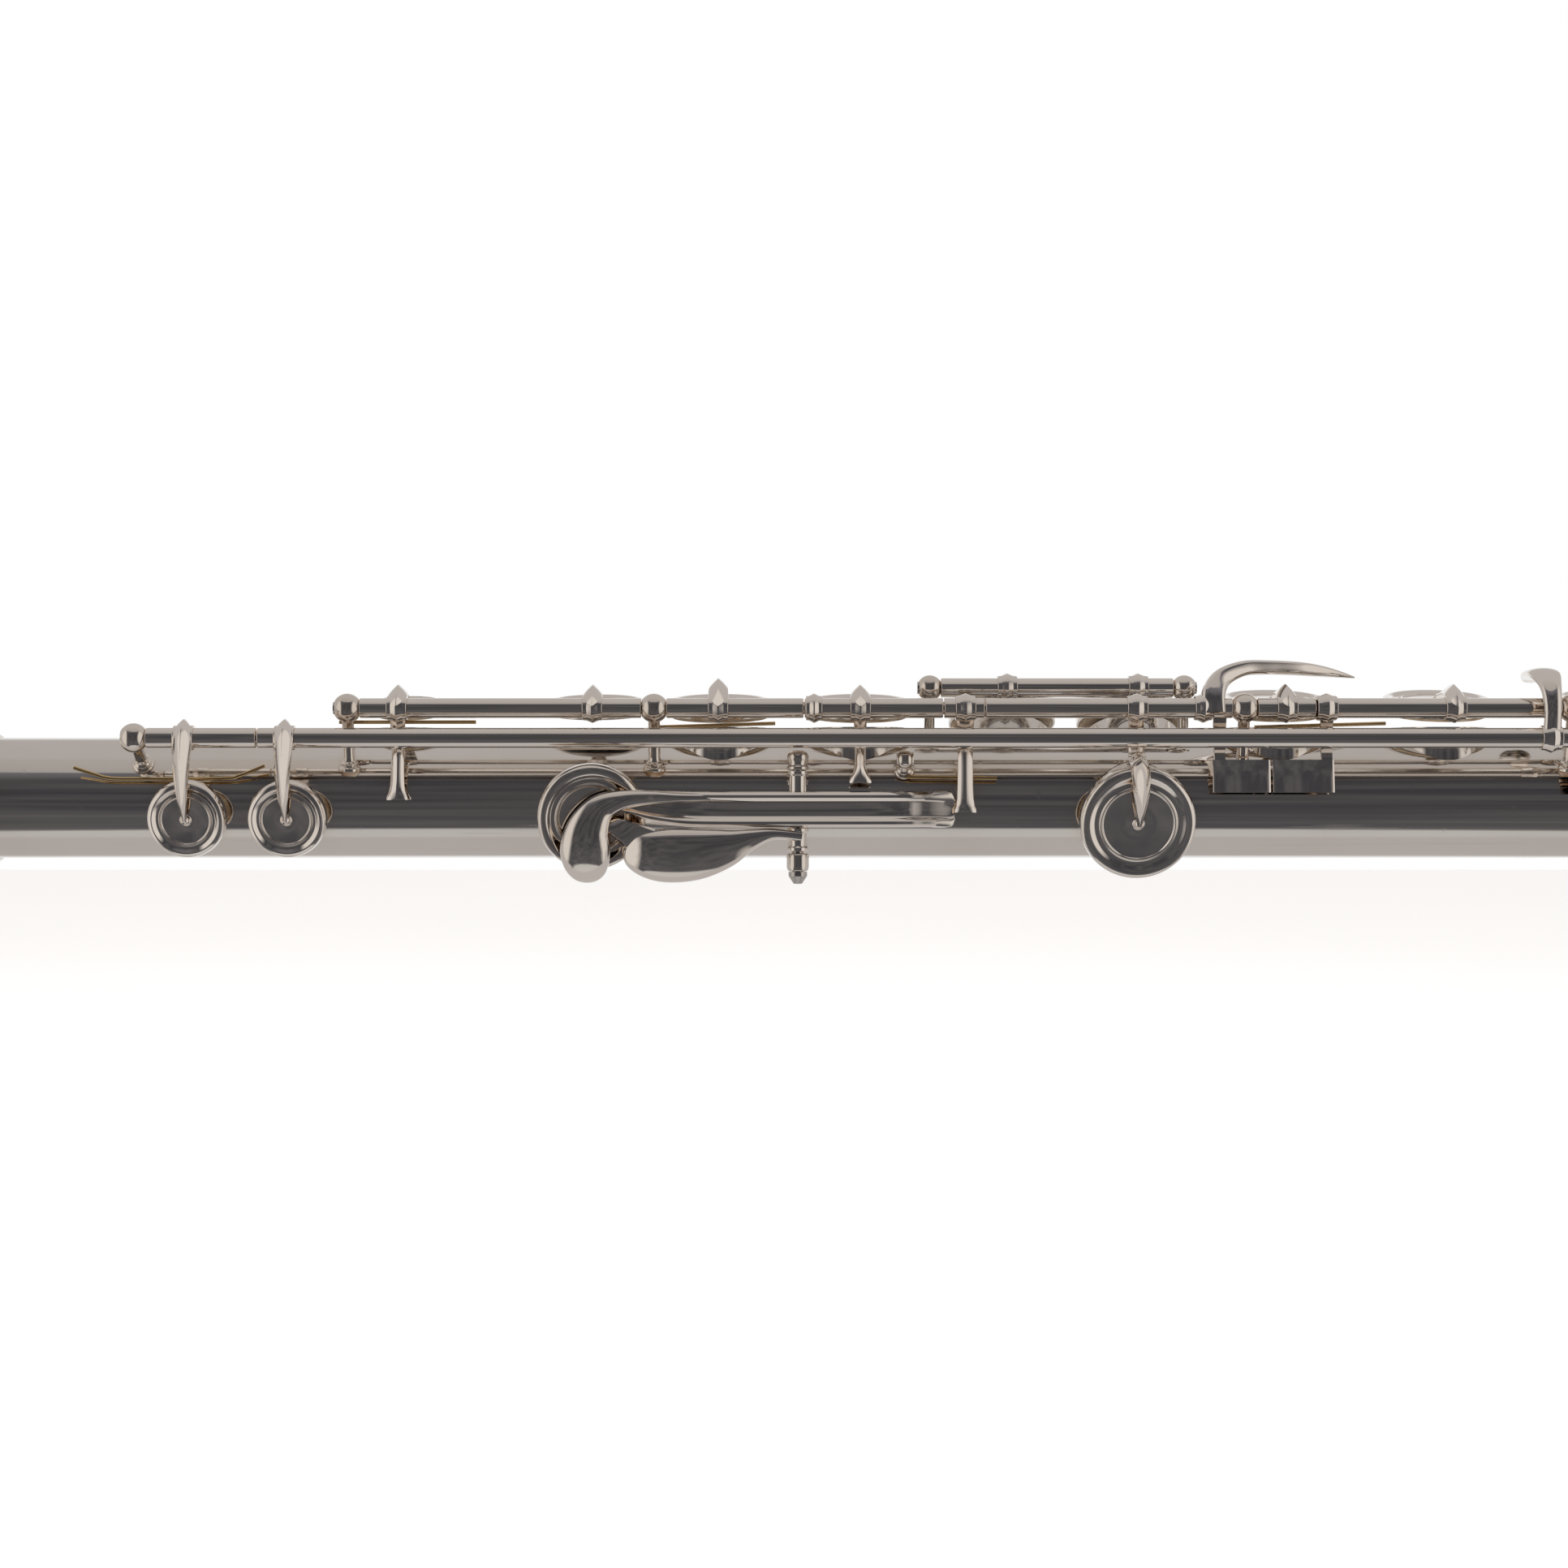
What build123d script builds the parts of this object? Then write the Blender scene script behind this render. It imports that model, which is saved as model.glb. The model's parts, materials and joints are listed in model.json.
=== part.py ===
"""Concert flute in C: head joint, body joint with offset G, and C foot joint.

The flute lies along X with its open foot end at the origin and its crown at -X.
+Z is up through the main row of cups, and the player's side is -Y.
Keys are drawn closed, then swung open by their own opening angle.
"""
from build123d import *
import os
from math import cos, radians, sin, sqrt

# Tube
BORE_R = 9.5
WALL = 0.35
TUBE_R = BORE_R + WALL
RIM_H = 11.5            # flat rims of the tone holes, from the tube axis
RIM_WALL = 0.45

# Places along the tube, from the open foot end
FOOT_TUBE_END = -119.2
TENON_END = -119.4
SOCKET_START = -129.6
SOCKET_END = -115.4
BODY_TOP = -441.0
BARREL_START = -486.0
BARREL_END = -433.6
HEAD_STRAIGHT = -500.0
HEAD_TOP = -666.0
CROWN_TOP = -674.0
EMBOUCHURE_X = -612.0

# Keywork
ROD_R = 1.6             # outside of a hinge tube
TUBE_BORE = 1.05        # inside of a hinge tube
STEEL_R = 1.0
BALL_R = 2.35
BALL_FACE = 1.9         # flat ends of a ball post, from its centre
END_GAP = 0.1
MAIN_ROD = (-11.5, 14.4)
TRILL_ROD = (-14.5, 9.6)
OFFSET_ROD = (-3.8, 17.9)
HINGE_X = -302.4        # upright hinge of the thumb keys
HINGE_Y = -13.0
PAD_GAP = 0.05
CUP_H = 3.0
CUP_BASE = RIM_H + 0.5
CUP_TOP = RIM_H + CUP_H

# Opening angles of the keys that stand open, in degrees
LEFT_OPEN = 8.5
RIGHT_OPEN = 10.5
THUMB_OPEN = 5.5
FOOT_OPEN = 9.0

# Directions of the holes, in degrees from straight up towards the far side
OFFSET_TURN = 27.0
TRILL_TURN = -104.5
THUMB_TURN = -103.0
G_SHARP_TURN = -107.0
FOOT_TURN = 38.6

# Hole and cup places along the tube
C_SHARP_HOLE = -366.4
C_TOUCH = -335.2
THUMB_HOLE = -335.2
B_FLAT_HOLE = -315.1
A_HOLE = -292.4
G_HOLES = (-268.3, -247.0)
G_SHARP_HOLE = -248.2
F_SHARP_HOLE = -224.3
F_HOLE = -197.4
E_HOLE = -168.9
D_HOLE = -138.7
D_TRILL_HOLE = -383.8
D_SHARP_TRILL_HOLE = -399.8
FOOT_HOLES = (-105.8, -72.8, -36.9)

MAIN_CUP_R = 8.9
SMALL_CUP_R = 5.6
TRILL_CUP_R = 6.3
THUMB_CUP_R = 8.6
G_SHARP_CUP_R = 9.3
HOLE_STEP = 1.6         # a hole is this much smaller in radius than its cup

# Posts along the main rod
MAIN_POSTS = (-374.4, -325.4, -231.0, -178.5, -131.9)
OFFSET_POSTS = (-280.9, -239.5)
TRILL_POSTS = (-407.8, -146.0)
GUIDE_POST_X = -285.3
FOOT_POSTS = (-113.5, -62.0, -24.5)
POST_ANGLE = 27.0       # where the posts stand on the rib, above the level
RIB_R = TUBE_R + 0.6
RIB_LOW = 19.0
RIB_HIGH = 36.0
BODY_RIB_SPAN = (-401.0, -130.2)

X_AXIS = (1, 0, 0)
Z_AXIS = (0, 0, 1)

os.makedirs("parts", exist_ok=True)


def outward(turn):
    """Unit direction of a hole whose axis is turned from straight up towards +Y."""
    return (0, sin(radians(turn)), cos(radians(turn)))


def spun(point, turn):
    """A point of the cross-section, turned about the tube axis towards +Y."""
    y, z = point
    s = sin(radians(turn))
    c = cos(radians(turn))
    return (y * c + z * s, -y * s + z * c)


def save(solid, name, pivot=None, opening=0.0, turn=0.0):
    """Swing a closed key open about its rod, turn it round the tube, and write it."""
    placed = solid
    if pivot is not None and opening:
        placed = placed.rotate(Axis((0, pivot[0], pivot[1]), X_AXIS), opening)
    if turn:
        placed = placed.rotate(Axis.X, -turn)
    placed.label = name
    export_step(placed, f"parts/{name}.step")


def save_thumb(solid, name):
    """Swing a closed thumb key open about its upright hinge, and write it."""
    placed = solid.rotate(Axis((HINGE_X, HINGE_Y, 0), Z_AXIS), THUMB_OPEN)
    placed.label = name
    export_step(placed, f"parts/{name}.step")


def rod(centre, x0, x1, radius, mode=Mode.ADD):
    """Round bar along X between two places."""
    with BuildSketch(Plane.YZ.offset(x0)) as section:
        with Locations(centre):
            Circle(radius)
    extrude(section.sketch, amount=x1 - x0, mode=mode)


def ring(centre, x, width=3.2, shoulder=1.95, ridge=2.35):
    """Collar with a sharp middle ridge, brazed round a hinge tube."""
    half = width / 2
    y, z = centre
    with BuildSketch(Plane((x, y, z), x_dir=X_AXIS, z_dir=(0, -1, 0))) as section:
        with BuildLine():
            Polyline((-half, 1.2), (-half, shoulder), (0, ridge), (half, shoulder), (half, 1.2), close=True)
        make_face()
    revolve(section.sketch, axis=Axis((x, y, z), X_AXIS))


def hole_plane(x, turn):
    """Plane through a hole's axis: its x runs along the tube and its y out of the hole."""
    _, y, z = outward(turn)
    return Plane(origin=(x, 0, 0), x_dir=X_AXIS, z_dir=(0, -z, y))


def turned_profile(x, turn, points):
    """Solid of revolution about a hole's axis, from (radius, height) points."""
    with BuildSketch(hole_plane(x, turn)) as section:
        with BuildLine():
            Polyline(*points, close=True)
        make_face()
    revolve(section.sketch, axis=Axis((x, 0, 0), outward(turn)))


def cup(x, radius, turn=0.0):
    """Pad cup: thin wall, stepped top with a raised middle, and a small pip."""
    inner = radius - 0.5
    boss = radius * 0.64
    points = [
        (0, RIM_H + 2.0),
        (inner, RIM_H + 2.0),
        (inner, CUP_BASE),
        (radius, CUP_BASE),
        (radius, CUP_TOP - 0.6),
        (radius - 0.6, CUP_TOP),
        (boss + 0.5, CUP_TOP),
        (boss + 0.2, CUP_TOP - 0.35),
        (boss - 0.1, CUP_TOP - 0.35),
        (boss - 0.5, CUP_TOP + 0.1),
        (0, CUP_TOP + 0.3),
    ]
    turned_profile(x, turn, points)


def pad(x, cup_radius, turn=0.0):
    """Felt pad in its skin, with rounded edges, that fills a cup."""
    radius = cup_radius - 0.5
    base = RIM_H + PAD_GAP
    points = [
        (0, base),
        (radius - 0.5, base),
        (radius, base + 0.45),
        (radius, RIM_H + 2.0),
        (0, RIM_H + 2.0),
    ]
    turned_profile(x, turn, points)


def chimney(x, cup_radius, turn=0.0):
    """Drawn wall of a tone hole, before the bore is cut."""
    plane = Plane((x, 0, 0), x_dir=X_AXIS, z_dir=outward(turn))
    with BuildSketch(plane.offset(4)) as section:
        Circle(cup_radius - HOLE_STEP + RIM_WALL)
    extrude(section.sketch, amount=RIM_H - 4)


def hole(x, cup_radius, turn=0.0):
    """Opening of a tone hole, cut from the axis outwards."""
    plane = Plane((x, 0, 0), x_dir=X_AXIS, z_dir=outward(turn))
    with BuildSketch(plane) as section:
        Circle(cup_radius - HOLE_STEP)
    extrude(section.sketch, amount=RIM_H + 1, mode=Mode.SUBTRACT)


def bar(x, stations, out=1, mode=Mode.ADD):
    """Faceted bar that follows (y, z, width, ridge, depth) stations in a cross-section.

    Each section has a flat inner face and a pointed outer ridge. A station may give
    its own x as a sixth value. out is 1 where the outer face is to the left of the
    way the bar runs, seen along +X, and -1 where it is to the right.
    """
    places = [(s[5] if len(s) > 5 else x, s[0], s[1]) for s in stations]
    sections = []
    for i, station in enumerate(stations):
        before = Vector(places[max(i - 1, 0)])
        after = Vector(places[min(i + 1, len(places) - 1)])
        way = Vector(0, after.Y - before.Y, after.Z - before.Z).normalized()
        half = station[2] / 2
        ridge = -out * station[3]
        depth = out * station[4]
        with BuildSketch(Plane(places[i], x_dir=X_AXIS, z_dir=way)) as section:
            Polygon(
                (-half, 0), (-half * 0.7, depth), (half * 0.7, depth), (half, 0), (0, ridge),
                align=None,
            )
        sections.append(section.sketch)
    loft(sections, ruled=True, mode=mode)


def cup_arm(x, peak=0.0):
    """Pointed arm from the main rod over a top cup, ending at the cup's middle."""
    y, z = MAIN_ROD
    stations = [
        (y - 0.9, z + 0.6, 3.0, 1.0, 0.9),
        (y + 1.0, z + 2.3 + peak, 2.9, 1.1, 0.9),
        (y + 4.2, z + 2.0 + peak * 0.5, 2.3, 0.9, 1.0),
        (-2.6, CUP_TOP + 0.7, 1.5, 0.6, 1.0),
        (0.4, CUP_TOP + 0.2, 0.5, 0.3, 0.5),
    ]
    bar(x, stations)


def closed_point(point, opening):
    """Where a point at rest lies once its key on the main rod is closed."""
    y = point[0] - MAIN_ROD[0]
    z = point[1] - MAIN_ROD[1]
    s = sin(radians(opening))
    c = cos(radians(opening))
    return (MAIN_ROD[0] + y * c + z * s, MAIN_ROD[1] - y * s + z * c)


def hanging_bar(x, stations, opening, mode=Mode.ADD):
    """Bar given as it hangs at rest, drawn where it lies with its key closed."""
    bar(x, [(*closed_point(s[:2], opening), *s[2:]) for s in stations], out=-1, mode=mode)


def hanging_arm(x, width, foot_z, opening, foot_width=None, mode=Mode.ADD):
    """Flat bar that hangs from the main rod behind the trill rod."""
    stations = [
        (-11.5, 13.8, width, 0.5, 0.5),
        (-10.95, 9.6, width, 0.45, 0.45),
        (-11.4, 6.0, width, 0.45, 0.5),
        (-11.9, foot_z + 1.6, width, 0.45, 0.5),
        (-12.1, foot_z, foot_width or width, 0.45, 0.5),
    ]
    hanging_bar(x, stations, opening, mode)


def bridge_plate(x, width, opening):
    """Wide plate across the feet of hanging arms, where one key takes another down."""
    stations = [
        (-11.4, 6.2, width, 0.45, 0.4),
        (-11.7, 4.4, width, 0.45, 0.4),
        (-12.1, 0.9, width, 0.45, 0.4),
    ]
    hanging_bar(x, stations, opening)


def bumper(x, z, width):
    """Cork on the tube side of a hanging arm's foot."""
    with BuildSketch(Plane.XZ.offset(TUBE_R + 0.12)) as section:
        with Locations((x, z)):
            Rectangle(width, 1.5)
    extrude(section.sketch, amount=11.7 - TUBE_R - 0.12)


def bore_out(centre, x0, x1):
    """Clear the running bore of a hinge tube."""
    rod(centre, x0 - 1, x1 + 1, TUBE_BORE, mode=Mode.SUBTRACT)


def ball_post(x, centre, foot, radius=BALL_R, face=BALL_FACE, waist=0.95):
    """Ball-headed post on a small flange, its flat ball faces across the rod."""
    y, z = centre
    base = Vector(x, foot[0], foot[1])
    head = Vector(x, y, z)
    way = (head - base).normalized()
    reach = (head - base).length
    with BuildSketch(Plane(base, x_dir=X_AXIS, z_dir=(0, -way.Z, way.Y))) as stem:
        with BuildLine():
            Polyline(
                (0, -0.3), (1.5, -0.3), (1.5, 0.35), (1.15, 0.75), (waist, 1.5),
                (waist, reach - radius * 0.8), (0, reach - radius * 0.8), close=True,
            )
        make_face()
    revolve(stem.sketch, axis=Axis(base, way))
    with BuildSketch(Plane((x, y, z), x_dir=X_AXIS, z_dir=(0, -1, 0))) as ball:
        with BuildLine():
            edge = sqrt(radius ** 2 - face ** 2)
            RadiusArc((-face, edge), (face, edge), radius)
            Polyline((face, edge), (face, 0), (-face, 0), (-face, edge))
        make_face()
    revolve(ball.sketch, axis=Axis((x, y, z), X_AXIS))


def drill(x, centre, left_r, right_r):
    """Hole through a ball post, stepped at its middle."""
    rod(centre, x - 3, x, left_r, mode=Mode.SUBTRACT)
    rod(centre, x, x + 3, right_r, mode=Mode.SUBTRACT)


def tube_face(angle, radius=TUBE_R):
    """Point on the tube's near side, at an angle above the level."""
    return (-radius * cos(radians(angle)), radius * sin(radians(angle)))


def strap(x0, x1, low, high):
    """Rib: a strip of the tube's own curve, soldered on its near side."""
    outer = RIB_R
    with BuildSketch(Plane.YZ.offset(x0)) as section:
        with BuildLine():
            ThreePointArc(tube_face(low), tube_face((low + high) / 2), tube_face(high))
            Line(tube_face(high), tube_face(high, outer))
            ThreePointArc(tube_face(high, outer), tube_face((low + high) / 2, outer), tube_face(low, outer))
            Line(tube_face(low, outer), tube_face(low))
        make_face()
    extrude(section.sketch, amount=x1 - x0)


def seat(x0, x1, radius):
    """Trim the feet of posts to the round surface they are soldered to."""
    rod((0, 0), x0, x1, radius, mode=Mode.SUBTRACT)


def spring(x0, x1, centre, end):
    """Straight needle spring between two places."""
    start = Vector(x0, *centre)
    way = Vector(x1, *end) - start
    with BuildSketch(Plane(start, z_dir=way)) as section:
        Circle(0.3)
    extrude(section.sketch, amount=way.length)


# ---------------------------------------------------------------- body joint

MAIN_TOP_CUPS = [
    (C_SHARP_HOLE, SMALL_CUP_R, 0.0),
    (B_FLAT_HOLE, MAIN_CUP_R, 0.0),
    (A_HOLE, MAIN_CUP_R, 0.0),
    (G_HOLES[0], MAIN_CUP_R, OFFSET_TURN),
    (G_HOLES[1], MAIN_CUP_R, OFFSET_TURN),
    (F_SHARP_HOLE, MAIN_CUP_R, 0.0),
    (F_HOLE, MAIN_CUP_R, 0.0),
    (E_HOLE, MAIN_CUP_R, 0.0),
    (D_HOLE, MAIN_CUP_R, 0.0),
]
BACK_CUPS = [
    (D_SHARP_TRILL_HOLE, TRILL_CUP_R, TRILL_TURN),
    (D_TRILL_HOLE, TRILL_CUP_R, TRILL_TURN),
    (THUMB_HOLE, THUMB_CUP_R, THUMB_TURN),
    (G_SHARP_HOLE, G_SHARP_CUP_R, G_SHARP_TURN),
]

with BuildPart() as body_tube:
    rod((0, 0), BODY_TOP, TENON_END, TUBE_R)
    for x, cup_r, turn in MAIN_TOP_CUPS + BACK_CUPS:
        chimney(x, cup_r, turn)
    rod((0, 0), BODY_TOP - 1, TENON_END + 1, BORE_R, mode=Mode.SUBTRACT)
    for x, cup_r, turn in MAIN_TOP_CUPS + BACK_CUPS:
        hole(x, cup_r, turn)
save(body_tube.part, "body_tube")

with BuildPart() as barrel:
    with BuildSketch(Plane.XZ):
        with BuildLine():
            Polyline(
                (BARREL_START, TUBE_R + 0.03), (BARREL_START, 10.9), (BARREL_START + 1.5, 11.2),
                (BARREL_START + 3.5, 11.2), (BARREL_START + 4.5, 10.6), (BARREL_END - 5.5, 10.6),
                (BARREL_END - 4.5, 11.1), (BARREL_END - 1.5, 11.1), (BARREL_END, 10.4),
                (BARREL_END, TUBE_R), (BODY_TOP, TUBE_R), (BODY_TOP, TUBE_R + 0.03), close=True,
            )
        make_face()
    revolve(axis=Axis.X)
save(barrel.part, "barrel")

with BuildPart() as body_rib:
    strap(*BODY_RIB_SPAN, RIB_LOW, RIB_HIGH)
    for x, cup_r, turn in MAIN_TOP_CUPS + BACK_CUPS:
        with BuildSketch(Plane((x, 0, 0), x_dir=X_AXIS, z_dir=outward(turn))):
            Circle(cup_r - HOLE_STEP + RIM_WALL + 0.05)
        extrude(amount=RIM_H + 2, mode=Mode.SUBTRACT)
save(body_rib.part, "body_rib")

with BuildPart() as main_posts:
    for x in MAIN_POSTS:
        ball_post(x, MAIN_ROD, tube_face(POST_ANGLE, RIB_R + 0.3))
    seat(*BODY_RIB_SPAN, RIB_R)
    for x in OFFSET_POSTS:
        ball_post(x, OFFSET_ROD, (-2.6, TUBE_R), radius=2.1, face=1.7, waist=0.85)
    seat(*BODY_RIB_SPAN, TUBE_R)
    drill(MAIN_POSTS[0], MAIN_ROD, STEEL_R, STEEL_R)
    drill(MAIN_POSTS[1], MAIN_ROD, STEEL_R, TUBE_BORE)
    drill(MAIN_POSTS[2], MAIN_ROD, TUBE_BORE, STEEL_R)
    for x in MAIN_POSTS[3:]:
        drill(x, MAIN_ROD, STEEL_R, STEEL_R)
    for x in OFFSET_POSTS:
        drill(x, OFFSET_ROD, STEEL_R, STEEL_R)
save(main_posts.part, "main_posts")

with BuildPart() as trill_posts:
    ball_post(TRILL_POSTS[0], TRILL_ROD, tube_face(33.5))
    ball_post(TRILL_POSTS[1], TRILL_ROD, tube_face(33.5, RIB_R))
    ball_post(GUIDE_POST_X, (-12.6, 6.2), tube_face(26.0, RIB_R), radius=1.5, face=1.3, waist=0.8)
    seat(TRILL_POSTS[0] - 5, BODY_RIB_SPAN[0], TUBE_R)
    seat(*BODY_RIB_SPAN, RIB_R)
    for x in TRILL_POSTS:
        drill(x, TRILL_ROD, TUBE_BORE, TUBE_BORE)
save(trill_posts.part, "trill_posts")

HINGE_TOP = 6.0
HINGE_LOW = -10.2
with BuildPart() as thumb_posts:
    for z, way in ((HINGE_TOP, 28.0), (HINGE_LOW, -52.0)):
        foot = Vector(HINGE_X, *tube_face(way))
        head = Vector(HINGE_X, HINGE_Y, z)
        span = head - foot
        with BuildSketch(Plane(foot, z_dir=span)):
            Circle(1.0)
        extrude(amount=span.length)
        with BuildSketch(Plane((HINGE_X, HINGE_Y, z), x_dir=X_AXIS, z_dir=(0, -1, 0))):
            with BuildLine():
                edge = sqrt(1.8 ** 2 - 1.5 ** 2)
                RadiusArc((edge, 1.5), (edge, -1.5), 1.8)
                Polyline((edge, -1.5), (0, -1.5), (0, 1.5), (edge, 1.5))
            make_face()
        revolve(axis=Axis((HINGE_X, HINGE_Y, z), Z_AXIS))
    with BuildSketch(Plane.XY.offset(-15)):
        with Locations((HINGE_X, HINGE_Y)):
            Circle(0.9)
    extrude(amount=30, mode=Mode.SUBTRACT)
    seat(HINGE_X - 3, HINGE_X + 3, TUBE_R)
    with BuildSketch(Plane.YZ.offset(HINGE_X - 3)):
        Circle(RIB_R)
        with Locations((0, -15)):
            Rectangle(40, 30, mode=Mode.SUBTRACT)
    extrude(amount=6, mode=Mode.SUBTRACT)
save(thumb_posts.part, "thumb_posts")

with BuildPart() as thumb_hinge_pin:
    with BuildSketch(Plane((HINGE_X, HINGE_Y, 0), x_dir=X_AXIS, z_dir=(0, -1, 0))):
        with BuildLine():
            Polyline(
                (0, HINGE_TOP + 1.6), (0.9, HINGE_TOP + 1.6), (0.9, HINGE_LOW - 1.5),
                (1.5, HINGE_LOW - 1.5), (1.5, HINGE_LOW - 2.2), (0.7, HINGE_LOW - 3.4),
                (0, HINGE_LOW - 3.5), close=True,
            )
        make_face()
    revolve(axis=Axis((HINGE_X, HINGE_Y, 0), Z_AXIS))
save(thumb_hinge_pin.part, "thumb_hinge_pin")

with BuildPart() as hinge_steels:
    rod(MAIN_ROD, MAIN_POSTS[0] - 2.2, MAIN_POSTS[1], STEEL_R)
    rod(MAIN_ROD, MAIN_POSTS[2], MAIN_POSTS[4] + 2.2, STEEL_R)
    rod(OFFSET_ROD, OFFSET_POSTS[0] - 2.0, OFFSET_POSTS[1] + 2.0, STEEL_R)
save(hinge_steels.part, "hinge_steels")

with BuildPart() as needle_springs:
    spring(-376.0, -354.0, (-9.6, 12.2), (-10.1, 12.2))
    spring(-325.4, -306.0, (-9.3, 11.4), (-9.6, 12.0))
    spring(-285.0, -270.5, (-10.6, 3.4), (-10.6, 3.2))
    spring(-229.0, -208.0, (-9.3, 11.4), (-9.6, 12.0))
    spring(-176.5, -158.0, (-9.3, 11.4), (-9.6, 12.0))
    spring(-127.0, -146.0, (-9.3, 11.4), (-9.6, 12.0))
save(needle_springs.part, "needle_springs")

with BuildPart() as trill_springs:
    spring(-418.4, -412.8, (-11.3, 5.0), (-10.75, 3.1))
    spring(-412.9, -393.3, (-10.75, 3.1), (-10.75, 3.2))
    spring(-393.4, -387.5, (-10.75, 3.2), (-11.2, 5.3))
save(trill_springs.part, "trill_springs")

# ---------------------------------------------------------------- left-hand keys

TUBE_START = BALL_FACE + END_GAP

C_KEY_SPAN = (MAIN_POSTS[0] + TUBE_START, MAIN_POSTS[1] - TUBE_START)
with BuildPart() as c_key:
    rod(MAIN_ROD, *C_KEY_SPAN, ROD_R)
    ring(MAIN_ROD, C_SHARP_HOLE)
    ring(MAIN_ROD, C_TOUCH)
    cup(C_SHARP_HOLE, SMALL_CUP_R)
    cup(C_TOUCH, MAIN_CUP_R - 0.7)
    cup_arm(C_SHARP_HOLE)
    cup_arm(C_TOUCH)
    hanging_arm(C_SHARP_HOLE, 2.6, -0.2, LEFT_OPEN, 3.1)
    bore_out(MAIN_ROD, *C_KEY_SPAN)
save(c_key.part, "c_key", MAIN_ROD, LEFT_OPEN)

with BuildPart() as c_key_pad:
    pad(C_SHARP_HOLE, SMALL_CUP_R)
save(c_key_pad.part, "c_key_pad", MAIN_ROD, LEFT_OPEN)

B_FLAT_SPAN = (MAIN_POSTS[1] + TUBE_START, -301.5)
TAIL_X = -275.6
TAIL_SPAN = (-279.0, -272.6)
BRIDGE_LEG_X = -234.7
with BuildPart() as b_flat_key:
    rod(MAIN_ROD, MAIN_POSTS[1] + 0.3, MAIN_POSTS[2] - 0.3, STEEL_R)
    rod(MAIN_ROD, *B_FLAT_SPAN, ROD_R)
    rod(MAIN_ROD, *TAIL_SPAN, ROD_R)
    rod(MAIN_ROD, BRIDGE_LEG_X - 1.4, BRIDGE_LEG_X + 1.7, ROD_R)
    ring(MAIN_ROD, B_FLAT_HOLE)
    ring(MAIN_ROD, TAIL_X)
    cup(B_FLAT_HOLE, MAIN_CUP_R)
    cup_arm(B_FLAT_HOLE, peak=1.0)
    hanging_arm(TAIL_X, 3.0, -2.3, LEFT_OPEN)
    hanging_arm(BRIDGE_LEG_X, 2.6, 2.9, LEFT_OPEN)
    bridge_plate(-231.5, 9.0, LEFT_OPEN)
save(b_flat_key.part, "b_flat_key", MAIN_ROD, LEFT_OPEN)

with BuildPart() as b_flat_key_pad:
    pad(B_FLAT_HOLE, MAIN_CUP_R)
save(b_flat_key_pad.part, "b_flat_key_pad", MAIN_ROD, LEFT_OPEN)

A_SPAN = (B_FLAT_SPAN[1] + 0.2, TAIL_SPAN[0] - 0.2)
with BuildPart() as a_key:
    rod(MAIN_ROD, *A_SPAN, ROD_R)
    ring(MAIN_ROD, A_SPAN[0] + 1.5, width=2.6)
    ring(MAIN_ROD, A_HOLE)
    cup(A_HOLE, MAIN_CUP_R)
    cup_arm(A_HOLE)
    hanging_arm(A_HOLE, 2.2, 2.4, LEFT_OPEN, 3.4)
    bore_out(MAIN_ROD, *A_SPAN)
save(a_key.part, "a_key", MAIN_ROD, LEFT_OPEN)

with BuildPart() as a_key_pad:
    pad(A_HOLE, MAIN_CUP_R)
save(a_key_pad.part, "a_key_pad", MAIN_ROD, LEFT_OPEN)

OFFSET_SPAN = (OFFSET_POSTS[0] + 1.8, OFFSET_POSTS[1] - 1.8)
OFFSET_UPRIGHT = spun(OFFSET_ROD, -OFFSET_TURN)


def offset_arm(x):
    """Pointed arm from the short rod to the middle of an offset cup."""
    y, z = OFFSET_UPRIGHT
    stations = [
        (y - 0.9, z + 0.6, 3.0, 0.9, 0.9),
        (y + 0.8, z + 2.0, 2.9, 0.9, 0.9),
        (y + 4.2, z + 1.6, 2.3, 0.9, 1.0),
        (-2.6, CUP_TOP + 0.7, 1.5, 0.6, 1.0),
        (0.4, CUP_TOP + 0.2, 0.5, 0.3, 0.5),
    ]
    bar(x, stations)


with BuildPart() as g_key:
    rod(OFFSET_UPRIGHT, *OFFSET_SPAN, ROD_R)
    for x in G_HOLES:
        ring(OFFSET_UPRIGHT, x)
        cup(x, MAIN_CUP_R)
        offset_arm(x)
    bore_out(OFFSET_UPRIGHT, *OFFSET_SPAN)
save(g_key.part, "g_key", OFFSET_UPRIGHT, LEFT_OPEN, OFFSET_TURN)

with BuildPart() as g_key_pads:
    for x in G_HOLES:
        pad(x, MAIN_CUP_R)
save(g_key_pads.part, "g_key_pads", OFFSET_UPRIGHT, LEFT_OPEN, OFFSET_TURN)

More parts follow.
